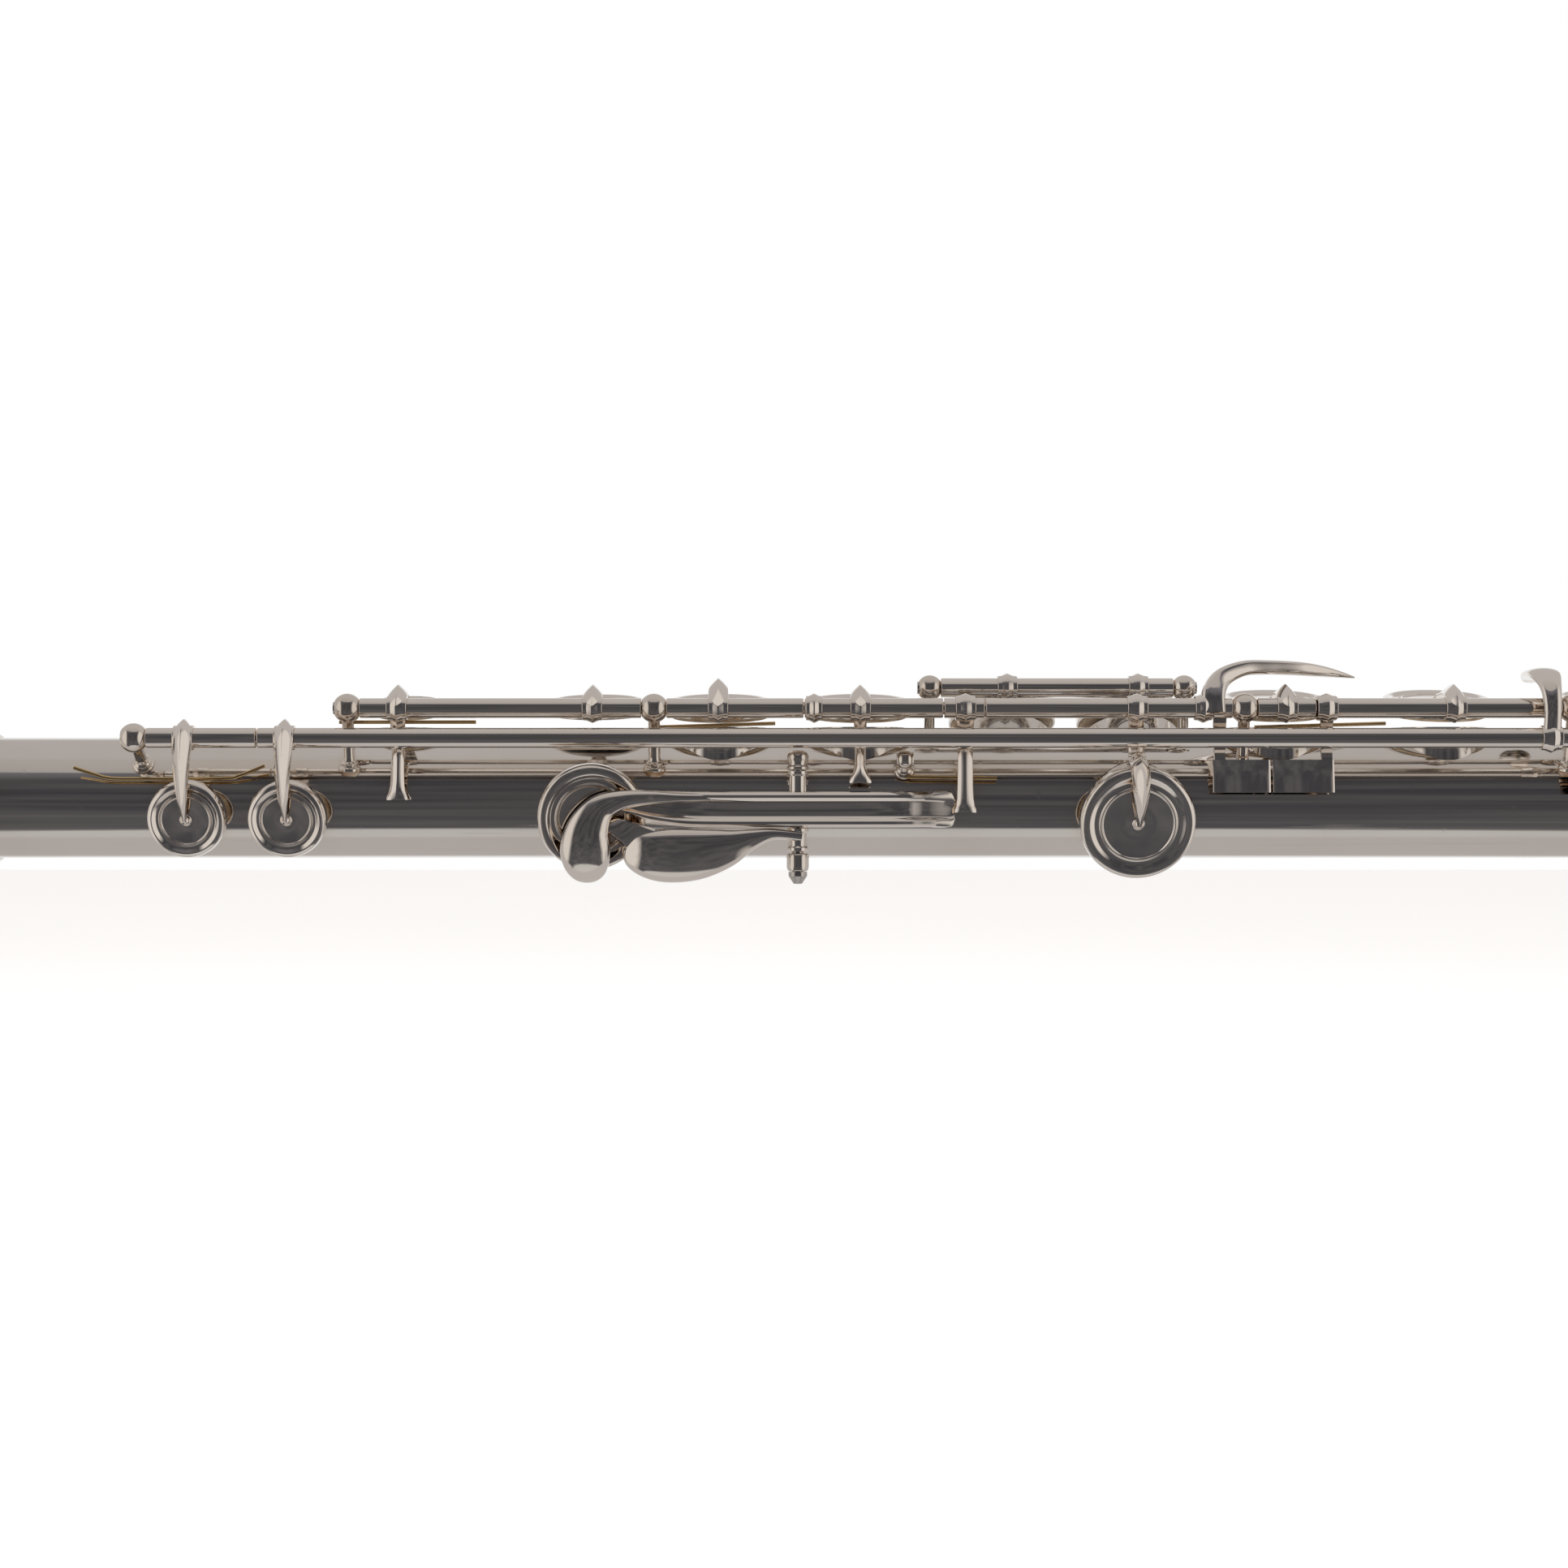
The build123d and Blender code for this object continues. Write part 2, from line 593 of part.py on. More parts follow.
LEVER_X = -237.0
G_SHARP_SPAN = (TAIL_SPAN[1] + 0.2, BRIDGE_LEG_X - 1.6)
with BuildPart() as g_sharp_key:
    rod(MAIN_ROD, *G_SHARP_SPAN, ROD_R)
    ring(MAIN_ROD, G_SHARP_HOLE)
    ring(MAIN_ROD, LEVER_X - 0.6, width=2.8)
    cup(G_SHARP_HOLE, G_SHARP_CUP_R, G_SHARP_TURN)
    bar(G_SHARP_HOLE, [
        (-11.5, 14.0, 2.6, 0.5, 0.5),
        (-10.9, 9.6, 2.4, 0.4, 0.4),
        (-12.0, 6.2, 2.6, 0.4, 0.6),
        (-16.7, 4.7, 3.2, 0.7, 0.6),
        (-17.2, 1.2, 2.6, 0.8, 0.9),
        (-14.6, -4.4, 0.6, 0.3, 0.6),
    ], out=-1)
    bar(LEVER_X, [
        (-11.9, 14.6, 2.6, 1.0, 0.8, LEVER_X - 0.6),
        (-9.6, 18.4, 2.6, 0.9, 0.8, LEVER_X + 0.2),
        (-6.4, 20.6, 3.0, 0.8, 0.7, LEVER_X + 2.4),
        (-3.0, 21.4, 4.4, 0.7, 0.7, LEVER_X + 5.6),
    ])
    with BuildSketch(Plane.XY.offset(20.0)):
        with BuildLine():
            Spline(
                (-236.0, -5.2), (-229.0, -5.0), (-219.0, -2.0), (-210.7, 2.0),
                (-220.0, 2.6), (-230.0, 0.6), (-236.0, -5.2), periodic=False,
            )
        make_face()
    extrude(amount=2.2)
    bore_out(MAIN_ROD, *G_SHARP_SPAN)
save(g_sharp_key.part, "g_sharp_key")

with BuildPart() as g_sharp_key_pad:
    pad(G_SHARP_HOLE, G_SHARP_CUP_R, G_SHARP_TURN)
save(g_sharp_key_pad.part, "g_sharp_key_pad")

# ---------------------------------------------------------------- thumb keys

B_BARREL = (-8.4, -4.75)
LEVER_BARREL = (-4.6, 4.35)
THUMB_BARREL_R = 1.5


def hinge_barrel(low, high, radius, mode=Mode.ADD):
    """Upright tube round the thumb hinge."""
    with BuildSketch(Plane.XY.offset(low)) as section:
        with Locations((HINGE_X, HINGE_Y)):
            Circle(radius)
    extrude(section.sketch, amount=high - low, mode=mode)


with BuildPart() as thumb_b_key:
    hinge_barrel(*B_BARREL, THUMB_BARREL_R)
    cup(THUMB_HOLE, THUMB_CUP_R, THUMB_TURN)
    with BuildSketch(Plane.XZ.offset(-HINGE_Y + 1.0)):
        with BuildLine():
            Spline(
                (-301.6, -5.0), (-308.0, -5.2), (-318.0, -4.9), (-326.0, -5.2), (-329.4, -8.2),
                (-327.0, -12.2), (-321.0, -13.2), (-314.0, -12.0), (-308.0, -8.2), (-301.6, -7.4),
            )
            Line((-301.6, -7.4), (-301.6, -5.0))
        make_face()
    extrude(amount=1.0)
    bar(-322.0, [
        (-13.9, -8.4, 8.0, 0.5, 0.6, -325.0),
        (-15.0, -5.4, 4.0, 0.5, 0.6, -329.5),
        (-14.6, -3.6, 2.0, 0.4, 0.6, -334.0),
    ], out=1)
    hinge_barrel(B_BARREL[0] - 1, B_BARREL[1] + 1, 0.95, mode=Mode.SUBTRACT)
save_thumb(thumb_b_key.part, "thumb_b_key")

with BuildPart() as thumb_b_key_pad:
    pad(THUMB_HOLE, THUMB_CUP_R, THUMB_TURN)
save_thumb(thumb_b_key_pad.part, "thumb_b_key_pad")

BAR_LOW = -4.5
BAR_HIGH = 1.0
with BuildPart() as thumb_b_flat_lever:
    hinge_barrel(*LEVER_BARREL, THUMB_BARREL_R)
    with BuildSketch(Plane.XY.offset(BAR_LOW)):
        with BuildLine():
            Polyline(
                (-277.2, -10.75), (-281.0, -10.9), (-286.0, -11.9), (-301.0, -12.2), (-318.0, -12.4),
                (-323.0, -14.6), (-328.0, -17.6), (-332.0, -19.0), (-332.0, -20.3), (-327.0, -18.9),
                (-322.0, -15.9), (-316.0, -14.2), (-301.0, -14.1), (-286.0, -13.6), (-281.0, -11.7),
                (-277.2, -11.5), close=True,
            )
        make_face()
    extrude(amount=BAR_HIGH - BAR_LOW)
    with BuildSketch(Plane.XZ.offset(19.0)):
        with BuildLine():
            Spline(
                (-330.6, -0.4), (-335.5, -0.9), (-338.5, -3.6), (-340.4, -8.6), (-338.0, -12.8),
                (-334.6, -13.2), (-332.4, -10.0), (-332.0, -6.0), (-330.6, -4.5),
            )
            Line((-330.6, -4.5), (-330.6, -0.4))
        make_face()
    extrude(amount=1.3)
    hinge_barrel(LEVER_BARREL[0] - 1, LEVER_BARREL[1] + 1, 0.95, mode=Mode.SUBTRACT)
save(thumb_b_flat_lever.part, "thumb_b_flat_lever")

# ---------------------------------------------------------------- right-hand keys

F_SHARP_SPAN = (MAIN_POSTS[2] + TUBE_START, -219.7)
F_SPAN = (F_SHARP_SPAN[1] + 0.2, MAIN_POSTS[3] - TUBE_START)
E_SPAN = (MAIN_POSTS[3] + TUBE_START, -155.2)
D_SPAN = (E_SPAN[1] + 0.2, MAIN_POSTS[4] - TUBE_START)
F_LEG_X = -217.9

with BuildPart() as f_sharp_key:
    rod(MAIN_ROD, *F_SHARP_SPAN, ROD_R)
    ring(MAIN_ROD, F_SHARP_HOLE)
    cup(F_SHARP_HOLE, MAIN_CUP_R)
    cup_arm(F_SHARP_HOLE)
    bore_out(MAIN_ROD, *F_SHARP_SPAN)
save(f_sharp_key.part, "f_sharp_key", MAIN_ROD, RIGHT_OPEN)

with BuildPart() as f_key:
    rod(MAIN_ROD, *F_SPAN, ROD_R)
    ring(MAIN_ROD, F_LEG_X)
    ring(MAIN_ROD, F_HOLE)
    cup(F_HOLE, MAIN_CUP_R)
    cup_arm(F_HOLE)
    hanging_arm(F_LEG_X, 2.6, 2.9, RIGHT_OPEN)
    bridge_plate(-221.6, 9.8, RIGHT_OPEN)
    bore_out(MAIN_ROD, *F_SPAN)
save(f_key.part, "f_key", MAIN_ROD, RIGHT_OPEN)

with BuildPart() as e_key:
    rod(MAIN_ROD, *E_SPAN, ROD_R)
    ring(MAIN_ROD, -174.6, width=2.6)
    ring(MAIN_ROD, E_HOLE)
    cup(E_HOLE, MAIN_CUP_R)
    cup_arm(E_HOLE)
    hanging_arm(-174.6, 2.6, 2.9, RIGHT_OPEN)
    hanging_arm(-162.8, 2.6, 2.9, RIGHT_OPEN)
    bridge_plate(-170.4, 17.8, RIGHT_OPEN)
    bore_out(MAIN_ROD, *E_SPAN)
save(e_key.part, "e_key", MAIN_ROD, RIGHT_OPEN)

with BuildPart() as d_key:
    rod(MAIN_ROD, *D_SPAN, ROD_R)
    ring(MAIN_ROD, D_HOLE)
    cup(D_HOLE, MAIN_CUP_R)
    cup_arm(D_HOLE)
    bore_out(MAIN_ROD, *D_SPAN)
save(d_key.part, "d_key", MAIN_ROD, RIGHT_OPEN)

for x, name in ((F_SHARP_HOLE, "f_sharp"), (F_HOLE, "f"), (E_HOLE, "e"), (D_HOLE, "d")):
    with BuildPart() as right_pad:
        pad(x, MAIN_CUP_R)
    save(right_pad.part, f"{name}_key_pad", MAIN_ROD, RIGHT_OPEN)

# ---------------------------------------------------------------- trill keys

D_TOUCH_X = -182.9
D_SHARP_TOUCH_X = -152.6
TRILL_SEAM = -388.2


def trill_arm(x):
    """Pointed arm from the trill rod down to the middle of a trill cup."""
    y, z = TRILL_ROD
    stations = [
        (y - 0.6, z + 1.6, 2.9, 0.9, 0.9),
        (y - 1.7, z - 1.2, 3.1, 1.0, 0.9),
        (y - 2.3, z - 5.6, 2.5, 0.9, 0.8),
        (y - 1.5, z - 10.2, 1.5, 0.6, 0.8),
        (y + 0.2, z - 13.4, 0.5, 0.3, 0.6),
    ]
    bar(x, stations, out=-1)


def trill_touch(x):
    """Finger lever from the trill rod over the main rod to the top of the flute."""
    stations = [
        (-15.4, 10.2, 2.8, 0.8, 0.8),
        (-15.9, 14.4, 2.8, 0.8, 0.7),
        (-14.2, 18.2, 3.0, 0.8, 0.7),
        (-9.6, 20.0, 3.6, 0.8, 0.7),
        (-4.0, 19.8, 5.2, 0.8, 0.7),
        (3.0, 19.6, 5.2, 0.8, 0.7),
        (5.2, 19.3, 2.6, 0.4, 0.5),
    ]
    bar(x, stations)


D_SHARP_TRILL_SPAN = (TRILL_POSTS[0] + TUBE_START, TRILL_SEAM - 0.1)
D_TRILL_SPAN = (TRILL_SEAM + 0.1, -157.0)
with BuildPart() as d_sharp_trill_key:
    rod(TRILL_ROD, TRILL_POSTS[0] - 2.0, TRILL_POSTS[1] + 2.0, STEEL_R)
    rod(TRILL_ROD, *D_SHARP_TRILL_SPAN, ROD_R)
    rod(TRILL_ROD, D_TRILL_SPAN[1] + 0.2, TRILL_POSTS[1] - TUBE_START, ROD_R)
    ring(TRILL_ROD, D_SHARP_TRILL_HOLE)
    ring(TRILL_ROD, D_SHARP_TOUCH_X)
    cup(D_SHARP_TRILL_HOLE, TRILL_CUP_R, TRILL_TURN)
    trill_arm(D_SHARP_TRILL_HOLE)
    trill_touch(D_SHARP_TOUCH_X)
save(d_sharp_trill_key.part, "d_sharp_trill_key")

with BuildPart() as d_trill_key:
    rod(TRILL_ROD, *D_TRILL_SPAN, ROD_R)
    ring(TRILL_ROD, D_TRILL_HOLE)
    ring(TRILL_ROD, D_TOUCH_X)
    cup(D_TRILL_HOLE, TRILL_CUP_R, TRILL_TURN)
    trill_arm(D_TRILL_HOLE)
    trill_touch(D_TOUCH_X)
    bore_out(TRILL_ROD, *D_TRILL_SPAN)
save(d_trill_key.part, "d_trill_key")

for x, name in ((D_SHARP_TRILL_HOLE, "d_sharp_trill"), (D_TRILL_HOLE, "d_trill")):
    with BuildPart() as trill_pad:
        pad(x, TRILL_CUP_R, TRILL_TURN)
    save(trill_pad.part, f"{name}_pad")

with BuildPart() as c_key_cork:
    bumper(C_SHARP_HOLE, 1.0, 2.0)
    hanging_arm(C_SHARP_HOLE, 2.6, -0.2, 0.0, 3.1, mode=Mode.SUBTRACT)
save(c_key_cork.part, "c_key_cork")

# ---------------------------------------------------------------- head joint


def head_radius(x):
    """Outside radius of the head tube, straight at the tenon and narrowing to the crown."""
    taper = (TUBE_R - 8.85) / (HEAD_STRAIGHT - HEAD_TOP)
    return TUBE_R - max(0.0, HEAD_STRAIGHT - x) * taper


def head_body(inset, mode=Mode.ADD):
    """Solid of the head tube's outside, drawn in by an inset."""
    with BuildSketch(Plane.XZ) as section:
        with BuildLine():
            Polyline(
                (BODY_TOP - 0.4 + inset, 0), (BODY_TOP - 0.4 + inset, TUBE_R - inset),
                (HEAD_STRAIGHT, TUBE_R - inset), (HEAD_TOP - inset, head_radius(HEAD_TOP - inset) - inset),
                (HEAD_TOP - inset, 0), close=True,
            )
        make_face()
    revolve(section.sketch, axis=Axis.X, mode=mode)


HOLE_LONG = 12.2
HOLE_WIDE = 10.4
with BuildPart() as head_tube:
    head_body(0)
    head_body(WALL, mode=Mode.SUBTRACT)
    with BuildSketch(Plane.XY):
        with Locations((EMBOUCHURE_X, 0)):
            Ellipse(HOLE_LONG / 2, HOLE_WIDE / 2)
    extrude(amount=20, mode=Mode.SUBTRACT)
save(head_tube.part, "head_tube")

PLATE_HALF = 32.0
PLATE_DROP = 1.9        # centre of the plate's curve above the tube axis
PLATE_R = 12.4
with BuildPart() as lip_plate:
    with BuildSketch(Plane.XZ):
        with BuildLine():
            ends = PLATE_R - 1.8
            ThreePointArc(
                (EMBOUCHURE_X - PLATE_HALF, ends + PLATE_DROP),
                (EMBOUCHURE_X, PLATE_R + PLATE_DROP),
                (EMBOUCHURE_X + PLATE_HALF, ends + PLATE_DROP),
            )
            Line(
                (EMBOUCHURE_X + PLATE_HALF, ends + PLATE_DROP),
                (EMBOUCHURE_X + PLATE_HALF, ends + PLATE_DROP - 0.9),
            )
            ThreePointArc(
                (EMBOUCHURE_X + PLATE_HALF, ends + PLATE_DROP - 0.9),
                (EMBOUCHURE_X, PLATE_R + PLATE_DROP - 0.9),
                (EMBOUCHURE_X - PLATE_HALF, ends + PLATE_DROP - 0.9),
            )
            Line(
                (EMBOUCHURE_X - PLATE_HALF, ends + PLATE_DROP - 0.9),
                (EMBOUCHURE_X - PLATE_HALF, ends + PLATE_DROP),
            )
        make_face()
    revolve(axis=Axis((0, 0, PLATE_DROP), X_AXIS))
    with BuildSketch(Plane.XY):
        with Locations((EMBOUCHURE_X, 0)):
            Ellipse(PLATE_HALF - 0.5, 12.0)
    extrude(amount=20, mode=Mode.INTERSECT)
    with BuildSketch(Plane.XY):
        with Locations((EMBOUCHURE_X, 0)):
            Ellipse(HOLE_LONG / 2, HOLE_WIDE / 2)
    extrude(amount=20, mode=Mode.SUBTRACT)
save(lip_plate.part, "lip_plate")

with BuildPart() as lip_riser:
    with BuildSketch(Plane.XY.offset(4)):
        with Locations((EMBOUCHURE_X, 0)):
            Ellipse(HOLE_LONG / 2 + 1.0, HOLE_WIDE / 2 + 1.0)
            Ellipse(HOLE_LONG / 2, HOLE_WIDE / 2, mode=Mode.SUBTRACT)
    extrude(amount=9.38)
    head_body(0, mode=Mode.SUBTRACT)
    with BuildSketch(Plane.YZ.offset(EMBOUCHURE_X - 10)):
        with Locations((0, PLATE_DROP)):
            Circle(30)
            Circle(PLATE_R - 1.1, mode=Mode.SUBTRACT)
    extrude(amount=20, mode=Mode.SUBTRACT)
save(lip_riser.part, "lip_riser")

ROD_TIP = EMBOUCHURE_X - 17.3
with BuildPart() as stopper_cork:
    with BuildSketch(Plane.XZ):
        with BuildLine():
            front = ROD_TIP - 1.2
            back = ROD_TIP - 17.0
            Polyline(
                (front, 1.6), (front, head_radius(front) - WALL - 0.08),
                (back, head_radius(back) - WALL - 0.08), (back, 1.6), close=True,
            )
        make_face()
    revolve(axis=Axis.X)
save(stopper_cork.part, "stopper_cork")

with BuildPart() as stopper_screw:
    rod((0, 0), ROD_TIP - 33.0, ROD_TIP - 0.6, 1.6)
    rod((0, 0), ROD_TIP - 1.2, ROD_TIP, head_radius(ROD_TIP) - WALL - 0.4)
    rod((0, 0), ROD_TIP - 18.4, ROD_TIP - 17.0, head_radius(ROD_TIP - 18) - WALL - 0.6)
save(stopper_screw.part, "stopper_screw")

with BuildPart() as crown:
    with BuildSketch(Plane.XZ):
        with BuildLine():
            Polyline(
                (HEAD_TOP + 5.0, 1.66), (HEAD_TOP + 5.0, 8.2), (HEAD_TOP - 0.15, 8.2),
                (HEAD_TOP - 0.15, 9.6), (HEAD_TOP - 1.0, 10.0), (HEAD_TOP - 2.6, 10.0),
                (HEAD_TOP - 3.6, 9.2), (HEAD_TOP - 5.4, 8.6),
            )
            Polyline((CROWN_TOP, 5.0), (CROWN_TOP, 0), (HEAD_TOP - 2.5, 0), (HEAD_TOP - 2.5, 1.66))
            ThreePointArc((HEAD_TOP - 5.4, 8.6), (HEAD_TOP - 7.1, 7.4), (CROWN_TOP, 5.0))
            Line((HEAD_TOP - 2.5, 1.66), (HEAD_TOP + 5.0, 1.66))
        make_face()
    revolve(axis=Axis.X)
save(crown.part, "crown")

# ---------------------------------------------------------------- foot joint

with BuildPart() as foot_tube:
    rod((0, 0), FOOT_TUBE_END, 0, TUBE_R)
    for x in FOOT_HOLES:
        chimney(x, MAIN_CUP_R)
    rod((0, 0), FOOT_TUBE_END - 1, 1, BORE_R, mode=Mode.SUBTRACT)
    for x in FOOT_HOLES:
        hole(x, MAIN_CUP_R)
save(foot_tube.part, "foot_tube", turn=FOOT_TURN)

with BuildPart() as foot_socket:
    with BuildSketch(Plane.XZ):
        with BuildLine():
            Polyline(
                (SOCKET_START, TUBE_R + 0.03), (SOCKET_START, 10.9), (SOCKET_START + 1.0, 11.2),
                (SOCKET_START + 2.6, 11.2), (SOCKET_START + 3.4, 10.6), (SOCKET_END, 10.6),
                (SOCKET_END, TUBE_R), (FOOT_TUBE_END, TUBE_R), (FOOT_TUBE_END, TUBE_R + 0.03), close=True,
            )
        make_face()
    revolve(axis=Axis.X)
save(foot_socket.part, "foot_socket", turn=FOOT_TURN)

with BuildPart() as foot_rib:
    strap(SOCKET_END, -21.5, RIB_LOW, RIB_HIGH)
    for x in FOOT_HOLES:
        with BuildSketch(Plane.XY):
            with Locations((x, 0)):
                Circle(MAIN_CUP_R - HOLE_STEP + RIM_WALL + 0.05)
        extrude(amount=RIM_H + 2, mode=Mode.SUBTRACT)
save(foot_rib.part, "foot_rib", turn=FOOT_TURN)

with BuildPart() as foot_posts:
    for x in FOOT_POSTS:
        ball_post(x, MAIN_ROD, tube_face(POST_ANGLE, RIB_R + 0.3))
        drill(x, MAIN_ROD, TUBE_BORE, TUBE_BORE)
    seat(FOOT_POSTS[0] - 3, FOOT_POSTS[2] + 3, RIB_R)
save(foot_posts.part, "foot_posts", turn=FOOT_TURN)

with BuildPart() as foot_springs:
    spring(-112.5, -99.0, (-9.3, 11.4), (-9.6, 12.0))
    spring(-60.5, -44.0, (-9.3, 11.4), (-9.6, 12.0))
save(foot_springs.part, "foot_springs", turn=FOOT_TURN)

with BuildPart() as end_ring:
    with BuildSketch(Plane.XZ):
        with BuildLine():
            Polyline(
                (-4.5, TUBE_R), (-4.5, 10.5), (-3.5, 11.0), (-1.0, 11.0), (0, 10.5), (0, TUBE_R), close=True,
            )
        make_face()
    revolve(axis=Axis.X)
save(end_ring.part, "foot_end_ring", turn=FOOT_TURN)

D_SHARP_SPAN = (FOOT_POSTS[0] + TUBE_START, -98.2)
C_SHORT_SPAN = (-98.0, -93.6)
LOW_C_SHARP_SPAN = (-93.4, FOOT_POSTS[1] - TUBE_START)
LOW_C_SPAN = (FOOT_POSTS[1] + TUBE_START, FOOT_POSTS[2] - TUBE_START)
ROLLER_SPAN = (-91.6, -83.6)
ROLLER_R = 1.9
NEAR_ROLLER = (-6.2, 19.4)
FAR_ROLLER = (-1.0, 19.4)


def roller_fork(centre):
    """Two cheeks, a back bar and the pin that a roller turns on."""
    y, z = centre
    for x0 in (ROLLER_SPAN[0] - 1.3, ROLLER_SPAN[1] + 0.2):
        rod(centre, x0, x0 + 1.1, 1.5)
    rod(centre, ROLLER_SPAN[0] - 1.3, ROLLER_SPAN[1] + 1.3, 0.6)
    rod((y, z - 3.0), ROLLER_SPAN[0] - 1.3, ROLLER_SPAN[1] + 1.3, 0.8)
    for x0 in (ROLLER_SPAN[0] - 1.3, ROLLER_SPAN[1] + 0.2):
        with BuildSketch(Plane.YZ.offset(x0)) as cheek:
            with Locations((y, z - 1.5)):
                Rectangle(1.6, 3.0)
        extrude(cheek.sketch, amount=1.1)


with BuildPart() as low_d_sharp_key:
    rod(MAIN_ROD, *D_SHARP_SPAN, ROD_R)
    ring(MAIN_ROD, FOOT_HOLES[0])
    cup(FOOT_HOLES[0], MAIN_CUP_R)
    cup_arm(FOOT_HOLES[0])
    bar(-105.0, [
        (-10.8, 15.6, 3.0, 0.8, 0.8),
        (-14.0, 17.0, 3.4, 0.8, 0.8),
        (-17.0, 17.6, 5.0, 0.6, 0.6),
    ], out=-1)
    with BuildSketch(Plane.XY.offset(16.6)):
        with Locations((-103.5, -20.0)):
            Ellipse(9.5, 5.4)
    extrude(amount=1.5)
    bore_out(MAIN_ROD, *D_SHARP_SPAN)
save(low_d_sharp_key.part, "low_d_sharp_key", turn=FOOT_TURN)

with BuildPart() as low_c_sharp_key:
    rod(MAIN_ROD, *LOW_C_SHARP_SPAN, ROD_R)
    ring(MAIN_ROD, FOOT_HOLES[1])
    ring(MAIN_ROD, -86.0)
    cup(FOOT_HOLES[1], MAIN_CUP_R)
    cup_arm(FOOT_HOLES[1])
    bar(-86.0, [
        (-12.0, 15.0, 3.0, 0.8, 0.8),
        (-9.6, 16.6, 3.0, 0.6, 0.6),
        (-6.2, 16.4, 3.0, 0.5, 0.5),
    ])
    roller_fork(NEAR_ROLLER)
    bore_out(MAIN_ROD, *LOW_C_SHARP_SPAN)
save(low_c_sharp_key.part, "low_c_sharp_key", MAIN_ROD, FOOT_OPEN, FOOT_TURN)

with BuildPart() as low_c_key:
    rod(MAIN_ROD, FOOT_POSTS[0] - 2.0, FOOT_POSTS[2] + 2.0, STEEL_R)
    rod(MAIN_ROD, *C_SHORT_SPAN, ROD_R)
    rod(MAIN_ROD, *LOW_C_SPAN, ROD_R)
    ring(MAIN_ROD, FOOT_HOLES[2])
    cup(FOOT_HOLES[2], MAIN_CUP_R)
    cup_arm(FOOT_HOLES[2])
    bar(-95.6, [
        (-12.0, 15.0, 2.0, 0.8, 0.8),
        (-9.6, 17.0, 2.0, 0.6, 0.6),
        (-4.6, 17.4, 2.0, 0.6, 0.6),
        (-1.0, 16.4, 2.0, 0.6, 0.6),
    ])
    rod((FAR_ROLLER[0], FAR_ROLLER[1] - 3.0), -96.4, ROLLER_SPAN[0], 0.8)
    roller_fork(FAR_ROLLER)
save(low_c_key.part, "low_c_key", MAIN_ROD, FOOT_OPEN, FOOT_TURN)

for centre, name in ((NEAR_ROLLER, "c_sharp_roller"), (FAR_ROLLER, "c_roller")):
    with BuildPart() as roller:
        rod(centre, *ROLLER_SPAN, ROLLER_R)
        rod(centre, ROLLER_SPAN[0] - 1, ROLLER_SPAN[1] + 1, 0.65, mode=Mode.SUBTRACT)
    save(roller.part, name, MAIN_ROD, FOOT_OPEN, FOOT_TURN)

FOOT_PADS = (
    (FOOT_HOLES[0], "low_d_sharp", 0.0),
    (FOOT_HOLES[1], "low_c_sharp", FOOT_OPEN),
    (FOOT_HOLES[2], "low_c", FOOT_OPEN),
)
for x, name, opening in FOOT_PADS:
    with BuildPart() as foot_pad:
        pad(x, MAIN_CUP_R)
    save(foot_pad.part, f"{name}_pad", MAIN_ROD, opening, FOOT_TURN)
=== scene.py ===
import json
import math

import bmesh
import bpy
from mathutils import Matrix, Vector


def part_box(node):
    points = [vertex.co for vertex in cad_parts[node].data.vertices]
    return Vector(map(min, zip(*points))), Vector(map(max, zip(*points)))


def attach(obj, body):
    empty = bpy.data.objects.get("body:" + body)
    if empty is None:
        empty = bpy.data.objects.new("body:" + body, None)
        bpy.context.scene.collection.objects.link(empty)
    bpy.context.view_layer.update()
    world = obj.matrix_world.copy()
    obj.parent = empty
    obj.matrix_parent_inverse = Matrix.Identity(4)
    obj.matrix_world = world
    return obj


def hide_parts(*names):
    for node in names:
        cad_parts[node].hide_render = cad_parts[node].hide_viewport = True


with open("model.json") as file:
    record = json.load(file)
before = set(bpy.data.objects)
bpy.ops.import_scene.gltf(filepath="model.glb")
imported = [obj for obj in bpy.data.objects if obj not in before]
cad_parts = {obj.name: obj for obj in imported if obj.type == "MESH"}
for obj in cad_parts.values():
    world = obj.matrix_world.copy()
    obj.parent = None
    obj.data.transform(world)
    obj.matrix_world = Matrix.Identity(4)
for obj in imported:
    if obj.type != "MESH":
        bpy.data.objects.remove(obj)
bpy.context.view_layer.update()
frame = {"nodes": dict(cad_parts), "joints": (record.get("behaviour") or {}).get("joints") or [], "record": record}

MM = 0.001
JOINTS = {joint["name"]: joint for joint in frame["joints"]}
BODY_OF = {node: body for body, nodes in frame["record"]["behaviour"]["bodies"].items() for node in nodes}
SLOT_OF = {part["node"]: part["material_slot"] for part in frame["record"]["subparts"]}


def middle(node):
    """Middle of a node's box, in millimetres."""
    low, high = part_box(node)
    return (low + high) / 2 / MM


def pivot(joint):
    """A joint's place, in millimetres."""
    return Vector(JOINTS[joint]["pos_m"]) / MM


def travel(joint):
    """How far a hinge turns, in radians."""
    low, high = JOINTS[joint]["range_deg"]
    return math.radians(max(abs(low), abs(high)))


# ------------------------------------------------------------------ finishes

def new_group(name, inputs, outputs):
    """Shared effect with named inputs and outputs."""
    group = bpy.data.node_groups.new(name, "ShaderNodeTree")
    for label, kind, value in inputs:
        socket = group.interface.new_socket(label, in_out="INPUT", socket_type=kind)
        socket.default_value = value
    for label, kind in outputs:
        group.interface.new_socket(label, in_out="OUTPUT", socket_type=kind)
    return group, group.nodes.new("NodeGroupInput"), group.nodes.new("NodeGroupOutput")


